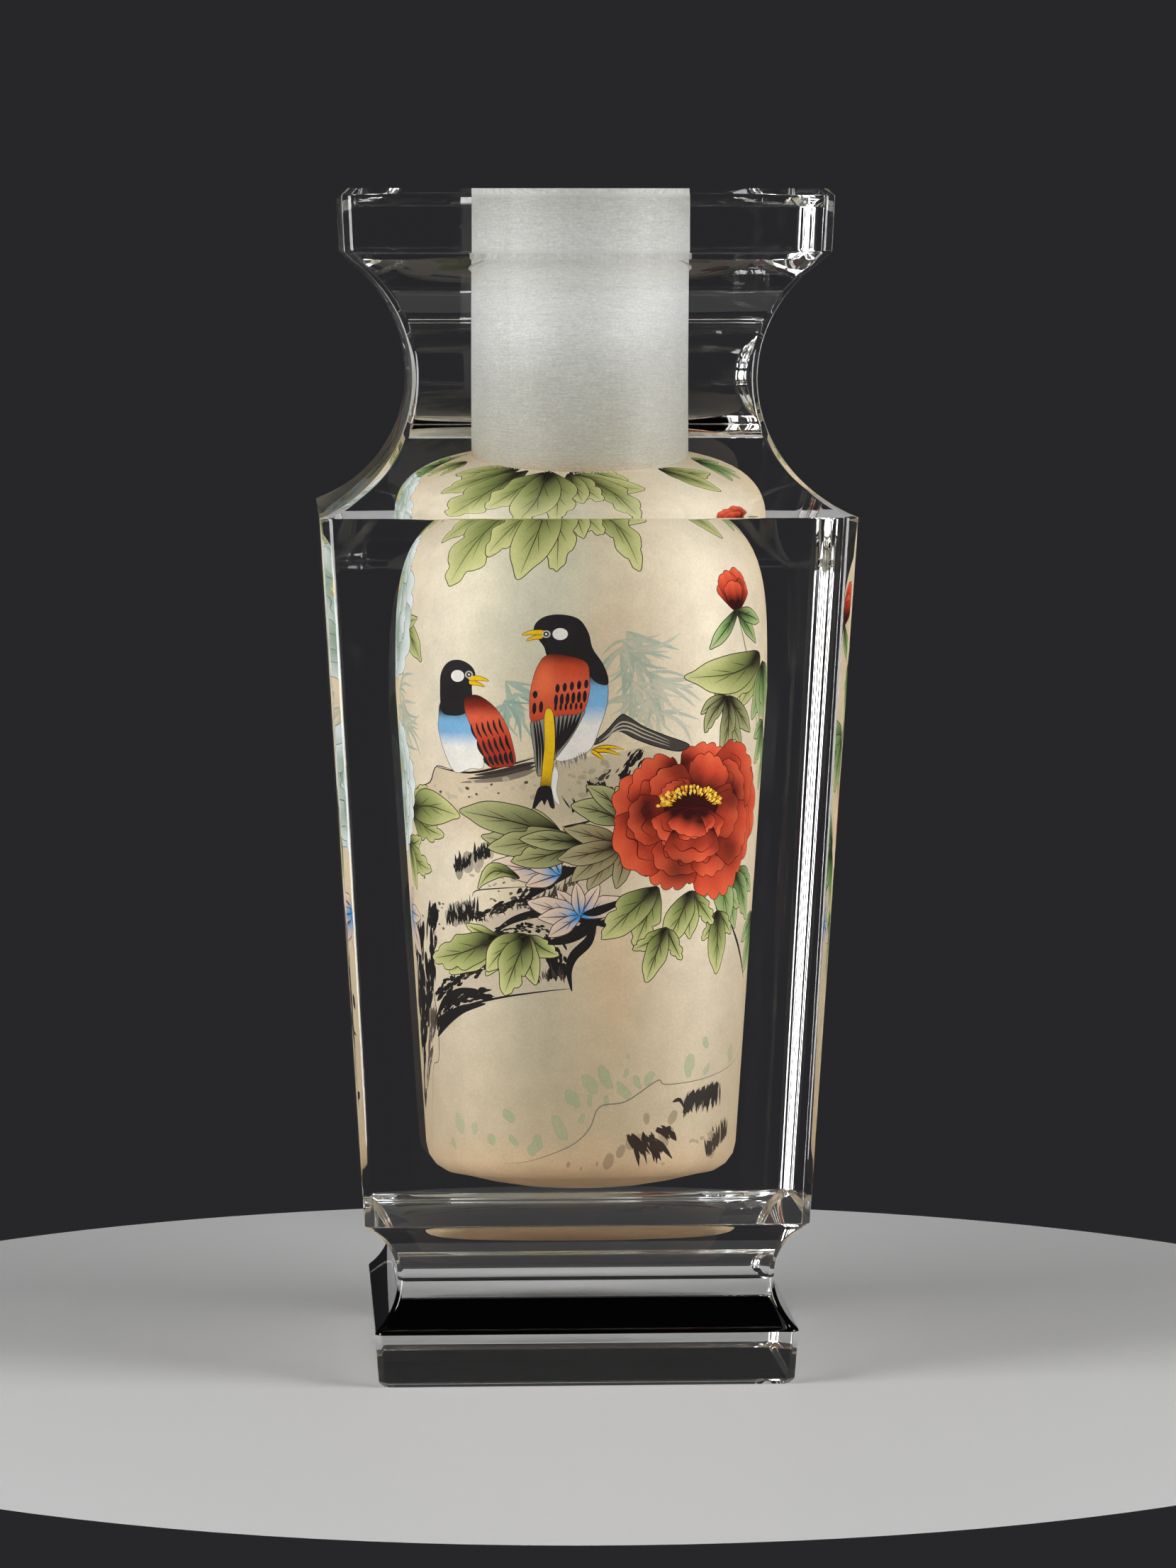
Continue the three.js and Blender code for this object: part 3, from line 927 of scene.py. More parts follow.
def paint_perch(art):
    """The grey-brown rock that the birds stand on, with its peak, cracks and lichen spots."""
    top = [(-41, 125.2), (-34, 126.6), (-32.2, 127.6), (-30.2, 130.5), (-25, 129.5), (-18, 130.4),
           (-12, 132), (-8, 133), (-2, 132.6), (5, 133), (12, 134.6), (20, 135)]
    low = [(28, 124), (12, 119), (4, 116), (-8, 112), (-20, 110), (-34, 112), (-42, 116)]

    def stone(x, y):
        tone = blend_colour(WARM_STONE, STONE, bump(x, y, (2, 125), (15, 11)))
        return blend_colour(ground(x, y), tone, 0.9 * min(max((y - 112) / 9, 0), 1))

    art.shape(curve(top + low, True, 4), stone)
    art.stroke(top[:5], 0.3, INK, 5, 0.5)
    art.stroke([(-30.2, 130.3), (-22, 129.3), (-14, 131), (-8, 132.8)], 0.5, INK, 5, 0.5)
    for dy, tint in ((0.0, linear("3a3430")), (-0.8, linear("4a423c")), (-1.6, linear("85796a"))):
        art.stroke([(-21 + 2 * dy, 128.8 + dy), (-15, 129.7 + dy), (-8.6, 131.6 + dy)], 1.2, tint, 5, 0.7)
    peak = [(2.6, 135.4), (5.4, 138), (8.2, 141.3), (9.6, 141), (12.7, 138.9), (17, 137), (22, 135),
            (20, 133.8), (15, 135), (11, 136.6), (7.6, 138.2), (4.6, 136)]
    art.figure(curve(peak, True, 4), linear("4a443f"), INK, 0.2, 1)
    for dy in (0.0, 0.9, 1.8):
        crest = [(4 + dy, 135.9 + dy * 0.8), (8.6, 138.4 + dy * 0.9), (13, 136.6 + dy * 0.9),
                 (18, 134.8 + dy * 0.6)]
        art.stroke(crest, 0.3, linear("c3b9a6"), 5, 0.4)
    dry_brush(art, [(12, 133.6), (10, 131), (8.6, 128.4)], 1.5, 50, 1.8, 21)
    dry_brush(art, [(6, 129.4), (3, 127), (2, 125.8)], 1.0, 14, 2.2, 22, linear("4b4038"))
    hatch(art, [(1, 127.4), (4, 127.6), (7, 126.8)], -1.0, 14, 2.4, 23)
    hatch(art, [(-1, 121.6), (2, 120), (5, 118.6)], 1.9, 22, 2.8, 24)
    art.stroke([(-3.6, 118), (0, 118.6), (5, 120)], 0.5, INK, 4, 0.4)
    speckle(art, (-24, 124.6), (20, 4), 22, 1.3, linear("9d8f78"), 0.55, 25)
    speckle(art, (0, 129), (11, 5), 22, 1.5, linear("7f7a66"), 0.6, 26)
    speckle(art, (-24, 126), (16, 3), 8, 0.8, INK, 0.9, 27)


def paint_low_rock(art):
    """The black inked branch and bank below the flowers, with its trunk running down the left."""
    bank = [(-34, 78), (-30, 84), (-20, 90), (-22, 98), (-12, 103), (-2, 110), (6, 111), (9, 105),
            (6, 98.5), (2, 93), (-1.6, 88), (-1.4, 83.8), (-9, 82.2), (-18, 80.8), (-26, 78.2), (-33, 74)]

    def stone(x, y):
        return blend_colour(ground(x, y), linear("c9b9a2"), 0.7)

    art.shape(curve(bank, True, 4), stone)
    art.stroke([(-22.7, 103), (-21.6, 104.4), (-16, 105), (-10, 105.4)], 0.26, INK, 5)
    art.stroke([(-21, 106), (-19.4, 108.4), (-15.5, 108.9), (-12, 107.2)], 0.26, INK, 5)
    dry_brush(art, [(-21.2, 98.7), (-16.2, 101.1), (-11.2, 102.8)], 0.9, 44, 2.6, 31, thick=(0.25, 0.9))
    hatch(art, [(-21, 97.6), (-15, 100), (-9, 101.6)], 1.9, 26, 2.2, 32, linear("3a3029"), (0.15, 0.4))
    dry_brush(art, [(-11.2, 103), (-6.4, 107), (-1.1, 109.6), (4, 110)], 1.7, 56, 2.6, 33, thick=(0.3, 1.0))
    hatch(art, [(-10, 99.8), (-6, 102.6), (-1, 106)], 1.2, 46, 2.8, 34, linear("4b3f37"), (0.2, 0.6))
    art.stroke([(-18.2, 95.4), (-14, 98.2), (-9, 99.6), (-6.4, 98.6)], 1.7, BLACK, 6, 0.6)
    art.stroke([(-1.6, 98.6), (2.4, 98.2), (6, 99.8), (10.5, 102.4)], 1.5, BLACK, 6, 0.3)
    dry_brush(art, [(-2, 96.6), (2.6, 97.2), (6, 98.4)], 1.1, 30, 2.0, 35, thick=(0.4, 1.2))
    art.stroke([(-12, 102.2), (-8.6, 104.6), (-4.6, 107.4), (0, 109.4)], 2.3, BLACK, 6, 0.7)
    art.stroke([(-6.8, 93.4), (-2.6, 94.4), (3.0, 96.4)], 2.4, BLACK, 5, 0.6)
    art.stroke([(3.6, 97.8), (2.0, 93.8), (-1.2, 90.6), (-2.2, 87.4), (-1.6, 83.2)], 2.2, BLACK, 6, 0.35)
    dry_brush(art, [(-7.4, 93.8), (-5, 90), (-4.4, 86.5)], 1.9, 70, 2.6, 36, thick=(0.4, 1.2))
    dry_brush(art, [(-17, 95.2), (-12, 96.6), (-6, 96)], 1.0, 40, 1.6, 49, thick=(0.3, 0.9))
    hatch(art, [(-9, 85), (-6, 85.6), (-3, 85.4)], 1.7, 18, 3.0, 37, linear("4b3f37"), (0.2, 0.5))
    art.stroke([(-34, 75.4), (-27, 79.2), (-18, 81.6), (-9, 83), (-1.6, 83.8)], 0.55, BLACK, 6, 0.2)
    art.stroke([(-35.4, 72.8), (-31.4, 76.4), (-26.6, 79), (-20.6, 80.4)], 2.3, BLACK, 6, 0.4)
    art.stroke([(-35, 77.4), (-31.6, 80.6), (-27, 82.8), (-22.6, 83.4)], 1.9, BLACK, 6, 0.4)
    dry_brush(art, [(-34.6, 75.5), (-31, 79.4), (-26, 81.4), (-20, 82.4)], 1.1, 60, 4.0, 38,
              thick=(0.3, 1.1))
    dry_brush(art, [(-34, 82), (-28, 85), (-23, 87.4), (-18, 90)], 1.2, 76, 2.8, 39, thick=(0.4, 1.2))
    hatch(art, [(-28, 84.6), (-22, 87.4), (-19, 88.6)], 1.5, 22, 3.2, 40, linear("4b3f37"), (0.2, 0.6))
    trunk = [(-34, 99.5), (-35.6, 94), (-36.4, 88), (-37.6, 82), (-42, 74), (-46, 66), (-49, 58)]
    dry_brush(art, trunk, 1.3, 90, 5.0, 41, thick=(0.5, 1.8))
    dry_brush(art, [(-42, 96), (-42.6, 86), (-44, 78), (-48, 70)], 4.6, 170, 4.8, 42, thick=(0.5, 1.7))
    dry_brush(art, [(-37, 78), (-39.6, 71), (-44, 62)], 1.6, 50, 4.6, 43, BARK)
    art.stroke([(-33.6, 99), (-34.6, 92), (-36.2, 84), (-35, 76), (-35.6, 68), (-38.6, 66), (-41, 56)], 0.3,
               INK, 6, 0.2)
    smear(art, [(-25.4, 108.6), (-22, 110.6), (-18, 112)], 3.0, 10, BARK, 0.55, 50)
    hatch(art, [(-26.4, 108.2), (-23.4, 109.8), (-19, 111.6)], 1.45, 48, 3.0, 44, thick=(0.3, 0.8))
    smear(art, [(-28.6, 98), (-26, 99.4), (-22.4, 99.8)], 3.2, 10, BARK, 0.55, 57)
    hatch(art, [(-29, 97), (-26, 97.6), (-22.4, 98.4)], 1.6, 56, 4.2, 45, thick=(0.3, 0.8))
    speckle(art, (-34, 99), (8, 9), 16, 0.8, INK, 0.85, 46)
    speckle(art, (-14, 101), (14, 4), 30, 0.7, INK, 0.85, 47)
    speckle(art, (-15, 106), (10, 3), 9, 1.1, linear("8b8474"), 0.6, 48)


def paint_shore(art):
    """The pale green moss, thin bank line and dark grass tufts near the bottom."""
    rng = random.Random(51)
    moss = linear("87ab80")
    line = [(-18, 46.2), (-13, 46.6), (-7.4, 48.1), (-1.2, 50.6), (2.5, 54), (4.8, 58.5), (10.8, 59.6),
            (17.8, 63.9), (20, 63), (30.3, 64), (43, 67.2), (52, 73)]
    for x, y, length, lean in ((-29, 54.6, 4.6, 1.9), (-24.7, 53.7, 2.6, 1.4), (-20.4, 51.4, 2.6, 2.0),
                               (-16.1, 56.5, 3.4, 2.1), (-15, 51.2, 3.0, 2.3), (-31.5, 50.2, 2.4, 2.0),
                               (-10.2, 50.2, 5.4, 1.2), (-4.6, 54, 6.2, 2.1), (0.6, 56, 2.3, 1.2),
                               (-1.4, 60.2, 5.0, 2.2), (2.4, 63.4, 5.6, 2.1), (2.4, 59.8, 2.5, 1.6),
                               (6, 64.8, 6.0, 2.1), (6.2, 59.8, 2.4, 1.5), (10.2, 61.8, 5.0, 2.2),
                               (10.6, 65.6, 2.2, 1.2), (13.2, 63.8, 3.2, 2.0), (16, 64.4, 3.4, 1.0),
                               (11, 69.2, 1.3, 1.5), (25.6, 66.8, 5.2, 1.4), (30.4, 66, 2.8, 0.9),
                               (29.8, 71.6, 2.6, 1.8), (39.6, 68.6, 4.0, 1.6)):
        width = length * rng.uniform(0.4, 0.6)
        place = Frame((x, y), lean, length / 2, width / 2)
        turns = [2 * math.pi * k / 9 for k in range(9)]
        blot = [place.out(math.cos(t) * rng.uniform(0.8, 1.1), math.sin(t) * rng.uniform(0.55, 1.2))
                for t in turns]
        strength = rng.uniform(0.3, 0.48)
        art.figure(curve(blot, True, 3), washed(moss, strength), washed(linear("7a9a70"), strength + 0.12),
                   0.1, 0)
    art.stroke(line, 0.3, linear("7f7a6b"), 5, 0.5)
    smear(art, [(12.2, 50), (16.6, 49), (21.2, 51.4)], 2.8, 10, BARK, 0.42, 60)
    hatch(art, [(11.2, 52.8), (13.4, 51.2)], -1.12, 15, 5.2, 61, linear("3c3029"), (0.6, 1.5))
    hatch(art, [(15.4, 52.8), (18.0, 50.8)], -1.08, 16, 5.6, 62, linear("3c3029"), (0.6, 1.5))
    hatch(art, [(18.6, 53.8), (21.4, 53.2)], -0.85, 12, 2.8, 63, linear("3c3029"), (0.7, 1.6))
    smear(art, [(25.6, 59.4), (30, 60), (35, 60.8)], 3.0, 9, BARK, 0.4, 58)
    hatch(art, [(25.6, 60.8), (30, 61.8), (35, 62.8)], -1.75, 90, 4.4, 54, linear("3a342f"), (0.4, 1.2))
    art.stroke([(21.6, 59.2), (23.4, 59.6), (24.6, 57.8)], 0.9, linear("3a342f"), 4, 0.4)
    smear(art, [(33.4, 48.4), (36.4, 51), (39.6, 52.4)], 2.8, 8, BARK, 0.35, 59)
    hatch(art, [(33, 47), (36, 49.4), (39.4, 50.6)], 1.7, 80, 4.2, 53, linear("4a3f36"), (0.3, 0.9))
    for x, y, size in ((-2.6, 46, 1.6), (0.5, 44.9, 1.1), (4.3, 46.2, 1.1), (7, 46.6, 4.2),
                       (9.8, 48.9, 3.2), (15.6, 55.8, 2.6), (21.8, 55.9, 3.4)):
        art.dab((x, y), size, size * 0.6, rng.uniform(1.0, 2.2), washed(linear("8a745c"), 0.55), 10)
    speckle(art, (28, 52), (8, 5), 10, 1.4, linear("8b7c69"), 0.5, 56)


def paint_far_bamboo(art):
    """Soft green bamboo behind the birds and round the back."""
    bamboo_clump(art, (-44, 140), (7, 7), 8, 9, 61)
    bamboo_clump(art, (-14, 146), (2.4, 3), 5, 8, 62, 0.75)
    bamboo_clump(art, (11, 155), (3, 5), 7, 11, 63)
    bamboo_clump(art, (11, 145), (5, 4), 7, 10, 64, 0.45)
    bamboo_clump(art, (95, 150), (14, 20), 10, 16, 65)
    bamboo_clump(art, (-95, 132), (12, 22), 10, 16, 66)


def paint_drape(art):
    """The fresh leaves that hang over the shoulder from the bore."""
    leaf_group(art, (-3, 193), ((8, 183), (14, 188.6), (16.6, 184)), SPRING_LEAF, 0.42, 71)
    leaf(art, (-1, 191.4), (12.2, 171.6), 7.6, SPRING_LEAF, True, 0.14, seed=0.72)
    for seed, joint, tips, wide in (
            (73, (-3.4, 192), ((5.4, 180.2), (1.0, 179.2)), 0.52),
            (74, (-21, 193.4), ((-38, 186), (-33.4, 178)), 0.44),
            (75, (-17.4, 192.6), ((-27, 168.4),), 0.46),
            (76, (-10, 193), ((-4.6, 171.6), (-19.6, 175), (-12.2, 169.8)), 0.46),
            (77, (28, 192), ((33.4, 183.4), (42, 186), (36, 179)), 0.38)):
        leaf_group(art, joint, tips, SPRING_LEAF, wide, seed)
    leaf_spray(art, (50, 191), -1.2, 4, 1.5, 13, FRESH_LEAF, 78, False)


def paint_bore_edge(art):
    """The chipped white edge where the bore's frosting ends."""
    rng = random.Random(79)
    for k in range(300):
        place = (mix(-HALF_GIRTH, HALF_GIRTH, (k + rng.random()) / 300),
                 WALL_HIGH - 0.1 - rng.random() ** 2)
        size = rng.uniform(0.3, 0.8)
        art.dab(place, size, size * 0.7, rng.uniform(0, 3), linear("e6e6e0"), 6)


def paint_left_side(art):
    """White peonies, their leaves and a blue-throated flower round the left of the chamber."""
    leaf_spray(art, (-54, 186), -2.6, 5, 2.2, 14, FRESH_LEAF, 81)
    leaf_spray(art, (-46, 191), -1.9, 4, 1.4, 10, SPRING_LEAF, 82)
    leaf_group(art, (-44, 161), ((-34, 152.4), (-36, 161.6), (-43, 149.6)), SPRING_LEAF, 0.36, 83, False)
    leaf_spray(art, (-62, 146), -1.9, 5, 2.0, 17, FRESH_LEAF, 84)
    leaf_group(art, (-42, 121), ((-34, 126.2), (-29.4, 115.8), (-24.8, 120)), SPRING_LEAF, 0.4, 85)
    leaf_group(art, (-46, 114), ((-37.6, 115), (-34, 108.4), (-42, 104)), SPRING_LEAF, 0.42, 86)
    leaf_spray(art, (-68, 104), -2.0, 5, 2.2, 18, FRESH_LEAF, 87)
    peony(art, (-56.6, 163.6), 19, WHITE_PETAL, 88)
    peony(art, (-56.4, 126), 17, WHITE_PETAL, 89)
    lily(art, (-50, 99), ((-42, 90), (-45.6, 104), (-40.6, 98), (-52, 90)), 90)


def paint_right_side(art):
    """Leaves, two buds and a blue-throated flower round the right of the chamber."""
    art.stroke([(33.6, 163), (35.2, 158), (36.9, 153), (42, 140), (47, 124)], 0.4, linear("8a8468"), 6)
    bud(art, (33.7, 162.9), 9.6, RED_PETAL, 91)
    leaf_group(art, (43, 153.4), ((34, 142.6), (27.4, 145.6), (20.6, 149.2)), SPRING_LEAF, 0.34, 92)
    leaf_spray(art, (45, 152), -1.2, 5, 1.6, 15, FRESH_LEAF, 93)
    leaf_group(art, (30.6, 145), ((24.4, 141.6), (25.4, 137.6), (39, 137.4), (35.6, 135), (29.6, 132.8)),
               OLIVE_LEAF, 0.34, 94)
    leaf_spray(art, (54, 136), -1.0, 5, 2.2, 15, FRESH_LEAF, 95)
    leaf_spray(art, (60, 112), -0.6, 6, 2.6, 18, FRESH_LEAF, 96)
    leaf_spray(art, (52, 98), -1.6, 5, 2.2, 15, FRESH_LEAF, 97)
    bud(art, (62, 160), 10, RED_PETAL, 98)
    art.stroke([(62, 160), (64, 148), (60, 134), (58, 120)], 0.5, linear("77704f"), 6)
    leaf_group(art, (48, 139), ((41.4, 136), (42.6, 130.6), (49, 130)), FRESH_LEAF, 0.45, 99)
    lily(art, (66, 96), ((58, 92), (62, 104), (72, 103), (75, 93), (67, 87)), 100)


def paint_back(art):
    """Plainer sprays of peonies and leaves with inked branches, on the side away from the viewer."""
    dry_brush(art, [(104, 52), (98, 70), (94, 90), (88, 104)], 3.0, 110, 5.0, 101, thick=(0.3, 1.2))
    dry_brush(art, [(-108, 58), (-98, 66), (-84, 70), (-72, 78)], 2.6, 90, 4.2, 102, thick=(0.3, 1.1))
    leaf_spray(art, (88, 112), 2.6, 6, 2.6, 18, OLIVE_LEAF, 103)
    leaf_spray(art, (92, 106), -0.6, 6, 2.6, 18, OLIVE_LEAF, 104)
    peony(art, (90, 116), 16, RED_PETAL, 105)
    leaf_spray(art, (-92, 92), 0.4, 6, 2.6, 17, SPRING_LEAF, 106)
    leaf_spray(art, (-94, 88), -2.2, 6, 2.6, 17, OLIVE_LEAF, 107)
    peony(art, (-94, 98), 14, WHITE_PETAL, 108)
    leaf_spray(art, (104, 188), -1.6, 5, 2.2, 18, SPRING_LEAF, 109)
    leaf_spray(art, (-82, 190), -1.5, 5, 2.2, 18, SPRING_LEAF, 110)
    moss = linear("93b187")
    speckle(art, (84, 66), (30, 8), 20, 2.4, moss, 0.6, 111)
    speckle(art, (-88, 58), (26, 6), 16, 2.4, moss, 0.6, 112)


def paint_peony_group(art):
    """The red peony, the leaves about it and the small blue-throated flowers."""
    lily(art, (-3.9, 108), ((-18, 110.4), (-11, 105.6), (-13, 113.6), (-6.6, 113.6)), 125)
    leaf(art, (-12.4, 107.2), (-21.2, 104.8), 3.2, SPRING_LEAF, False, -0.3, seed=0.7)
    leaf_group(art, (9.6, 119), ((-1.6, 122.4), (1.5, 126.6), (7.6, 126.4)), OLIVE_LEAF, 0.4, 128, False)
    leaf_group(art, (-3.4, 116), ((-9.4, 121.8), (-20, 116), (-24.8, 121.2)), OLIVE_LEAF, 0.3, 129, False)
    leaf_group(art, (0.6, 114.4), ((-18.6, 113.4), (-13.8, 110.6), (-12, 115.4)), OLIVE_LEAF, 0.34, 130)
    leaf_group(art, (9, 114), ((-3.1, 117.6), (2, 104.6), (7.8, 105), (-1.5, 106.4), (-4.4, 111.2)),
               BROWN_LEAF, 0.36, 132, False)
    lily(art, (0.2, 99.2), ((9.8, 102.8), (4.2, 105.6), (-4.6, 104.6), (-10.7, 102.2), (-8.6, 98.8),
                            (-6.5, 94.8), (-0.6, 106)), 126)
    art.stroke([(0.8, 99.6), (3.4, 100), (6.6, 101.2), (10.8, 103)], 1.9, BLACK, 5, 0.4)
    leaf_spray(art, (36, 108), -1.2, 4, 1.5, 14, FRESH_LEAF, 133)
    leaf_group(art, (29, 110), ((39, 100), (35, 96), (26.3, 102)), FRESH_LEAF, 0.36, 134)
    for seed, joint, tips, wide in (
            (135, (31, 99.6), ((36, 94.6), (27.2, 93.6), (31.6, 86.2)), 0.4),
            (136, (16.5, 105), ((12, 92.6), (5, 94.2)), 0.42),
            (137, (24, 104), ((30, 97), (24, 94), (18.8, 93)), 0.44),
            (138, (18.6, 96.4), ((22.2, 89.6), (11.6, 92), (14.6, 85)), 0.42)):
        leaf_group(art, joint, tips, SPRING_LEAF, wide, seed)
    peony(art, (25.6, 119.2), 18.8, RED_PETAL, 131)
    leaf_group(art, (-17, 94.6), ((-24.4, 97.2), (-20, 86.4), (-29.6, 86.6), (-35.4, 89.6)), SPRING_LEAF,
               0.36, 139)
    leaf_group(art, (-10.8, 95), ((-4.4, 90.8), (-20, 87.4), (-9.4, 84.6), (-16.2, 82.4)), SPRING_LEAF,
               0.46, 140)
    art.stroke([(35.9, 96.6), (40.2, 91.6), (45.6, 84.4)], 0.8, BLACK, 5, 0.5)


def paint_picture():
    art = Painting()
    paint_far_bamboo(art)
    paint_back(art)
    paint_shore(art)
    paint_perch(art)
    paint_low_rock(art)
    foot(art, (2.4, 134))
    bird_from_side(art, (-23.2, 129.6), -1)
    bird_from_behind(art, (-0.6, 133.2))
    paint_drape(art)
    paint_bore_edge(art)
    paint_left_side(art)
    paint_right_side(art)
    paint_peony_group(art)
    return art


# The closed glass mesh

class Mesh:
    """Vertices in millimetres, faces with a material slot each, and colours on the painted faces."""

    def __init__(self):
        self.points = []
        self.faces = []
        self.slots = []
        self.colours = {}
        self.sharp = set()

    def add_points(self, points):
        start = len(self.points)
        self.points += points
        return list(range(start, len(self.points)))

    def add_face(self, face, slot, shades=None):
        if shades:
            self.colours[len(self.faces)] = shades
        self.faces.append(tuple(face))
        self.slots.append(slot)

    def band(self, low, high, slot, shade=None):
        """The faces between two rings, all of one shade if it is given."""
        for i in range(len(low)):
            j = (i + 1) % len(low)
            self.add_face((low[i], low[j], high[j], high[i]), slot, shade and [shade] * 4)

    def mark_ring(self, ring):
        for i in range(len(ring)):
            self.sharp.add(frozenset((ring[i], ring[(i + 1) % len(ring)])))


CLEAR, FROSTED, PAINTED = range(3)
SHARP_TURN = 14
FLAT_RUN = 3


def turn_at(profile, i):
    """The change of direction of the profile at a row, in degrees, and its longer neighbouring run."""
    before = Vector(profile[i][:2]) - Vector(profile[i - 1][:2])
    after = Vector(profile[i + 1][:2]) - Vector(profile[i][:2])
    return math.degrees(before.angle(after)), max(before.length, after.length)


def add_outside(mesh):
    profile = outside_profile()
    rings = []
    for half, level, chamfer in profile:
        rings.append(mesh.add_points([(x, y, level) for x, y in outside_ring(half, chamfer)]))
    for low, high in zip(rings, rings[1:]):
        mesh.band(low, high, CLEAR)
    mesh.add_face(reversed(rings[0]), CLEAR)
    per_corner = 2 * (CORNER_STEPS + 1)
    for low, high in zip(rings, rings[1:]):
        for i in range(len(low)):
            if i % per_corner in (0, per_corner - 1):
                mesh.sharp.add(frozenset((low[i], high[i])))
    for i in range(1, len(profile) - 1):
        turn, run = turn_at(profile, i)
        if turn > SHARP_TURN or run > FLAT_RUN:
            mesh.mark_ring(rings[i])
    mesh.mark_ring(rings[0])
    mesh.mark_ring(rings[-1])
    return rings[-1]


def stitch(mesh, outer, inner, slot):
    """Closes the level ring between two loops, by stepping round the middles of their edges."""

    def angle(index):
        x, y, _ = mesh.points[index]
        return math.atan2(y, x) % (2 * math.pi)

    outer = sorted(outer, key=angle)
    inner = sorted(inner, key=angle)
    outer_angles = [angle(i) for i in outer] + [angle(outer[0]) + 2 * math.pi]
    inner_angles = [angle(i) for i in inner] + [angle(inner[0]) + 2 * math.pi]
    i = j = 0
    while i < len(outer) or j < len(inner):
        a, b = outer[i % len(outer)], inner[j % len(inner)]
        open_outer = i < len(outer)
        if j >= len(inner) or (open_outer and sum(outer_angles[i:i + 2]) <= sum(inner_angles[j:j + 2])):
            i += 1
            mesh.add_face((a, outer[i % len(outer)], b), slot)
        else:
            j += 1
            mesh.add_face((a, inner[j % len(inner)], b), slot)


def add_chamber(mesh):
    """The painted wall; returns its lowest and highest rings, anticlockwise seen from above."""
    points, faces, colours = paint_picture().triangles()
    half = HALF_GIRTH
    index = []
    seam = {}
    for x, y in points:
        if half - x < 1e-4:
            index.append(None)
            continue
        if x + half < 1e-4:
            seam[round(y, 3)] = len(mesh.points)
        index.append(mesh.add_points([wall_point(x, y)])[0])
    for k, (x, y) in enumerate(points):
        if index[k] is None:
            index[k] = seam[round(y, 3)]
    for face, shades in zip(faces, colours):
        mesh.add_face([index[v] for v in reversed(face)], PAINTED, shades[::-1])

    def ring(level):
        found = []
        for k, (x, y) in enumerate(points):
            if abs(y - level) < 1e-4 and half - x > 1e-4:
                found.append((x, index[k]))
        return [k for _, k in sorted(found)]

    return ring(WALL_LOW), ring(WALL_HIGH)


def add_floor(mesh, ring):
    """The chamber's dished floor."""
    shade = ground(0, WALL_LOW)
    previous = ring
    for share in (0.75, 0.5, 0.25):
        level = FLOOR_LEVEL + FLOOR_DISH * share ** 2
        points = [(mesh.points[i][0] * share, mesh.points[i][1] * share, level) for i in ring]
        inner = mesh.add_points(points)
        mesh.band(previous, inner, PAINTED, shade)
        previous = inner
    centre = mesh.add_points([(0, 0, FLOOR_LEVEL)])[0]
    for a in range(len(ring)):
        b = (a + 1) % len(ring)
        mesh.add_face((previous[a], previous[b], centre), PAINTED, [shade] * 3)


def add_bore(mesh, low_ring):
    """The frosted bore above the chamber, with its softened mouth; returns the mouth's outer ring."""
    mesh.mark_ring(low_ring)
    rows = [(BORE_RADIUS, TOTAL_HEIGHT - MOUTH_BEVEL)]
    for i in range(1, SOFT_STEPS + 1):
        t = i / SOFT_STEPS * math.pi / 2
        rows.append((BORE_RADIUS + MOUTH_BEVEL * (1 - math.cos(t)),
                     TOTAL_HEIGHT - MOUTH_BEVEL * (1 - math.sin(t))))
    previous = low_ring
    for radius, level in rows:
        ring = []
        for k in low_ring:
            x, y, _ = mesh.points[k]
            scale = radius / math.hypot(x, y)
            ring.append((x * scale, y * scale, level))
        ring = mesh.add_points(ring)
        for a in range(len(ring)):
            b = (a + 1) % len(ring)
            mesh.add_face((previous[b], previous[a], ring[a], ring[b]), FROSTED)
        previous = ring
    mesh.mark_ring(previous)
    return previous


def build_vase():
    mesh = Mesh()
    top_ring = add_outside(mesh)
    low_ring, high_ring = add_chamber(mesh)
    add_floor(mesh, low_ring)
    mouth_ring = add_bore(mesh, high_ring)
    stitch(mesh, top_ring, mouth_ring, CLEAR)
    data = bpy.data.meshes.new("painted_vase")
    data.from_pydata([(x * MM, y * MM, z * MM) for x, y, z in mesh.points], [], mesh.faces)
    data.polygons.foreach_set("material_index", mesh.slots)
    data.polygons.foreach_set("use_smooth", [True] * len(mesh.faces))
    sharp = data.attributes.new("sharp_edge", "BOOLEAN", "EDGE")
    sharp.data.foreach_set("value", [frozenset(edge.vertices) in mesh.sharp for edge in data.edges])
    paint = data.color_attributes.new("paint", "FLOAT_COLOR", "CORNER")
    values = []
    for number, face in enumerate(mesh.faces):
        shades = mesh.colours.get(number) or [(1, 1, 1)] * len(face)
        for shade in shades:
            values += [*shade, 1.0]
    paint.data.foreach_set("color", values)
    data.update()
    piece = bpy.data.objects.new("painted_vase", data)
    bpy.context.collection.objects.link(piece)
    return piece


# Materials

# The bore's colours by height: a painted highlight half way up, painted shade at the top, and a darker beige
# lowest edge.
FROST_LOW = linear("c7ad8a")
FROST_EDGE = linear("c4c0ae")
FROST_MIDDLE = linear("d3d3cb")
FROST_PAINTED_HIGHLIGHT = linear("e9eae8")
FROST_TOP_SHADE = linear("bfc0b9")
FROST_LEVELS = (0.186, 0.25)
BLOTCHES = (45, 45, 30)
SCRATCHES = (260, 260, 3200)
FROST_GRAIN = (1500, 1500, 2400)
PAINT_GRAIN = (1900, 1900, 1900)
PAINT_MOTTLE = (210, 210, 210)


def new_material(name):
    material = bpy.data.materials.new(name)
    material.use_nodes = True
    nodes = material.node_tree.nodes
    links = material.node_tree.links
    return material, nodes, links, nodes["Principled BSDF"]


def clear_glass():
    material, _, _, shader = new_material("clear_glass")
    shader.inputs["Base Color"].default_value = (0.985, 0.99, 0.985, 1)
    shader.inputs["Roughness"].default_value = 0.0
    shader.inputs["IOR"].default_value = GLASS_INDEX
    shader.inputs["Transmission Weight"].default_value = 1.0
    return material


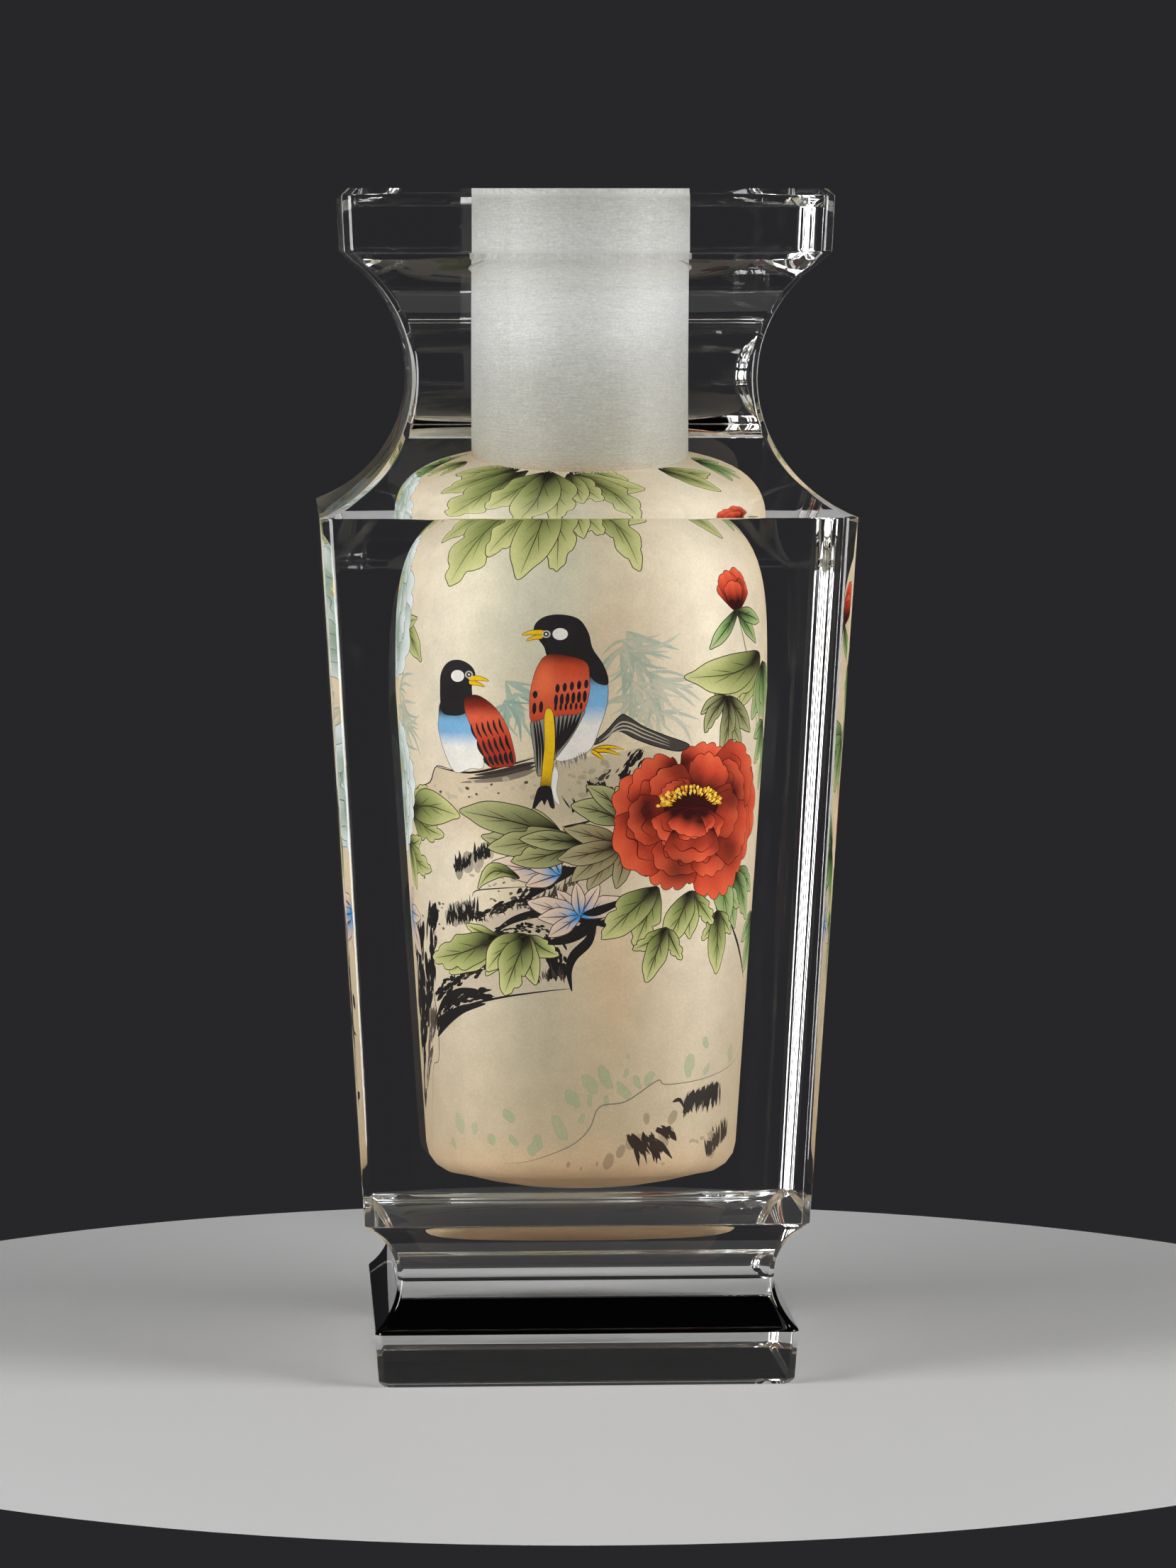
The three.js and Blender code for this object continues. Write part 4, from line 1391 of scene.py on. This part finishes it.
def noise(nodes, links, vector, scale, detail=3.0):
    """A noise texture at a scale along each axis, in cycles a metre; returns its value's socket."""
    mapping = nodes.new("ShaderNodeMapping")
    mapping.inputs["Scale"].default_value = scale
    links.new(vector, mapping.inputs["Vector"])
    texture = nodes.new("ShaderNodeTexNoise")
    texture.inputs["Scale"].default_value = 1.0
    texture.inputs["Detail"].default_value = detail
    links.new(mapping.outputs["Vector"], texture.inputs["Vector"])
    return texture.outputs["Fac"]


def spread(nodes, links, value, low, high, source=(0.3, 0.7)):
    """A value stretched from one range to another."""
    node = nodes.new("ShaderNodeMapRange")
    for name, number in zip(("From Min", "From Max", "To Min", "To Max"), (*source, low, high)):
        node.inputs[name].default_value = number
    links.new(value, node.inputs["Value"])
    return node.outputs["Result"]


def blend(nodes, links, first, second):
    """A colour multiplied by another colour or value; both are sockets."""
    node = nodes.new("ShaderNodeMix")
    node.data_type = "RGBA"
    node.blend_type = "MULTIPLY"
    node.inputs[0].default_value = 1.0
    links.new(first, node.inputs[6])
    links.new(second, node.inputs[7])
    return node.outputs[2]


def add_bump(nodes, links, shader, height, strength, distance):
    node = nodes.new("ShaderNodeBump")
    node.inputs["Strength"].default_value = strength
    node.inputs["Distance"].default_value = distance
    links.new(height, node.inputs["Height"])
    links.new(node.outputs["Normal"], shader.inputs["Normal"])


def frosted_glass():
    """Ground glass: its tone by height is painted highlight and shade, palest half way up and greyer at the
    top, and its lowest edge is darker and beige; with fine level scratches and blotches.
    """
    material, nodes, links, shader = new_material("frosted_glass")
    place = nodes.new("ShaderNodeTexCoord").outputs["Object"]
    split = nodes.new("ShaderNodeSeparateXYZ")
    links.new(place, split.inputs["Vector"])
    blotches = noise(nodes, links, place, BLOTCHES, 4)
    # The place on the ramp of painted light and shade: the height, shifted a little by the blotches.
    painted_light_height = nodes.new("ShaderNodeMath")
    painted_light_height.operation = "ADD"
    links.new(spread(nodes, links, split.outputs["Z"], 0, 1, FROST_LEVELS), painted_light_height.inputs[0])
    links.new(spread(nodes, links, blotches, -0.06, 0.06), painted_light_height.inputs[1])
    colours = nodes.new("ShaderNodeValToRGB")
    stops = ((0.0, FROST_LOW), (0.06, FROST_EDGE), (0.38, FROST_MIDDLE), (0.6, FROST_PAINTED_HIGHLIGHT),
             (1.0, FROST_TOP_SHADE))
    for number, (level, colour) in enumerate(stops):
        knot = colours.color_ramp.elements[number] if number < 2 else colours.color_ramp.elements.new(level)
        knot.position = level
        knot.color = (*colour, 1)
    links.new(painted_light_height.outputs["Value"], colours.inputs["Fac"])
    scratches = noise(nodes, links, place, SCRATCHES, 5)
    grain = noise(nodes, links, place, FROST_GRAIN, 3)
    tone = colours.outputs["Color"]
    for texture, low, high in ((scratches, 0.88, 1.09), (grain, 0.86, 1.1), (blotches, 0.92, 1.06)):
        tone = blend(nodes, links, tone, spread(nodes, links, texture, low, high))
    links.new(tone, shader.inputs["Base Color"])
    links.new(spread(nodes, links, scratches, 0.5, 0.75), shader.inputs["Roughness"])
    shader.inputs["IOR"].default_value = GLASS_INDEX
    shader.inputs["Transmission Weight"].default_value = 0.12
    add_bump(nodes, links, shader, scratches, 0.5, 0.0002)
    return material


def wall_paint():
    """Water colour on ground glass: the painting's own colours, mottled and with a fine grain."""
    material, nodes, links, shader = new_material("wall_paint")
    colour = nodes.new("ShaderNodeVertexColor")
    colour.layer_name = "paint"
    place = nodes.new("ShaderNodeTexCoord").outputs["Object"]
    grain = noise(nodes, links, place, PAINT_GRAIN, 4)
    mottle = noise(nodes, links, place, PAINT_MOTTLE, 4)
    tone = blend(nodes, links, colour.outputs["Color"], spread(nodes, links, grain, 0.93, 1.05))
    tone = blend(nodes, links, tone, spread(nodes, links, mottle, 0.94, 1.05))
    links.new(tone, shader.inputs["Base Color"])
    links.new(spread(nodes, links, mottle, 0.7, 0.9), shader.inputs["Roughness"])
    shader.inputs["Specular IOR Level"].default_value = 0.1
    add_bump(nodes, links, shader, grain, 0.25, 0.0001)
    return material


# Stage

FLOOR_RADIUS = 0.2
FLOOR_SIDES = 128
FLOOR_GREY = (0.5, 0.5, 0.5, 1)
LIGHT_SIDE = 0.75
LIGHT_FORWARD = 0.35
LIGHT_LEVEL = 0.28
LIGHT_SIZE = (0.5, 0.96)
LIGHT_POWER = 14.5
LIGHT_TARGET = Vector((0, 0, 0.13))
WORLD_GREY = (0.02, 0.02, 0.022, 1)


def add_floor_disc():
    turns = [2 * math.pi * i / FLOOR_SIDES for i in range(FLOOR_SIDES)]
    ring = [(FLOOR_RADIUS * math.cos(t), FLOOR_RADIUS * math.sin(t), 0) for t in turns]
    data = bpy.data.meshes.new("floor")
    data.from_pydata(ring, [], [list(range(FLOOR_SIDES))])
    floor = bpy.data.objects.new("floor", data)
    bpy.context.collection.objects.link(floor)
    material, _, _, shader = new_material("floor_pale")
    shader.inputs["Base Color"].default_value = FLOOR_GREY
    shader.inputs["Roughness"].default_value = 0.6
    data.materials.append(material)


def add_light(name, side):
    """One of the two soft lights, to the left or the right of the vase."""
    light = bpy.data.lights.new(name, "AREA")
    light.shape = "RECTANGLE"
    light.size, light.size_y = LIGHT_SIZE
    light.energy = LIGHT_POWER
    holder = bpy.data.objects.new(name, light)
    holder.location = (side * LIGHT_SIDE, -LIGHT_FORWARD, LIGHT_LEVEL)
    direction = LIGHT_TARGET - Vector(holder.location)
    holder.rotation_euler = direction.to_track_quat("-Z", "Y").to_euler()
    bpy.context.collection.objects.link(holder)


def add_camera():
    pitch, azimuth = math.radians(CAMERA_PITCH), math.radians(CAMERA_AZIMUTH)
    distance = CAMERA_DISTANCE * MM
    level = AIM_LEVEL * MM + distance * math.sin(pitch)
    flat = distance * math.cos(pitch)
    camera = bpy.data.cameras.new("camera")
    camera.sensor_width = SENSOR
    camera.lens = FOCAL_PIXELS / PHOTO_HEIGHT * SENSOR
    holder = bpy.data.objects.new("camera", camera)
    side = AIM_SIDE * MM
    holder.location = (
        flat * math.sin(azimuth) + side * math.cos(azimuth),
        -flat * math.cos(azimuth) + side * math.sin(azimuth),
        level,
    )
    holder.rotation_euler = (math.pi / 2 - pitch, 0, azimuth)
    bpy.context.collection.objects.link(holder)
    bpy.context.scene.camera = holder


def set_world():
    world = bpy.data.worlds.new("studio")
    bpy.context.scene.world = world
    world.use_nodes = True
    background = world.node_tree.nodes["Background"]
    background.inputs["Color"].default_value = WORLD_GREY
    background.inputs["Strength"].default_value = 1.0


vase = build_vase()
for material in (clear_glass(), frosted_glass(), wall_paint()):
    vase.data.materials.append(material)
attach(vase, "root")
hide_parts("glass_vase")

add_floor_disc()
add_light("left", -1)
add_light("right", 1)
add_camera()
set_world()

scene = bpy.context.scene
scene.view_settings.view_transform = "Standard"
scene.cycles.max_bounces = 24
scene.cycles.transmission_bounces = 24
scene.cycles.glossy_bounces = 16
scene.cycles.diffuse_bounces = 6
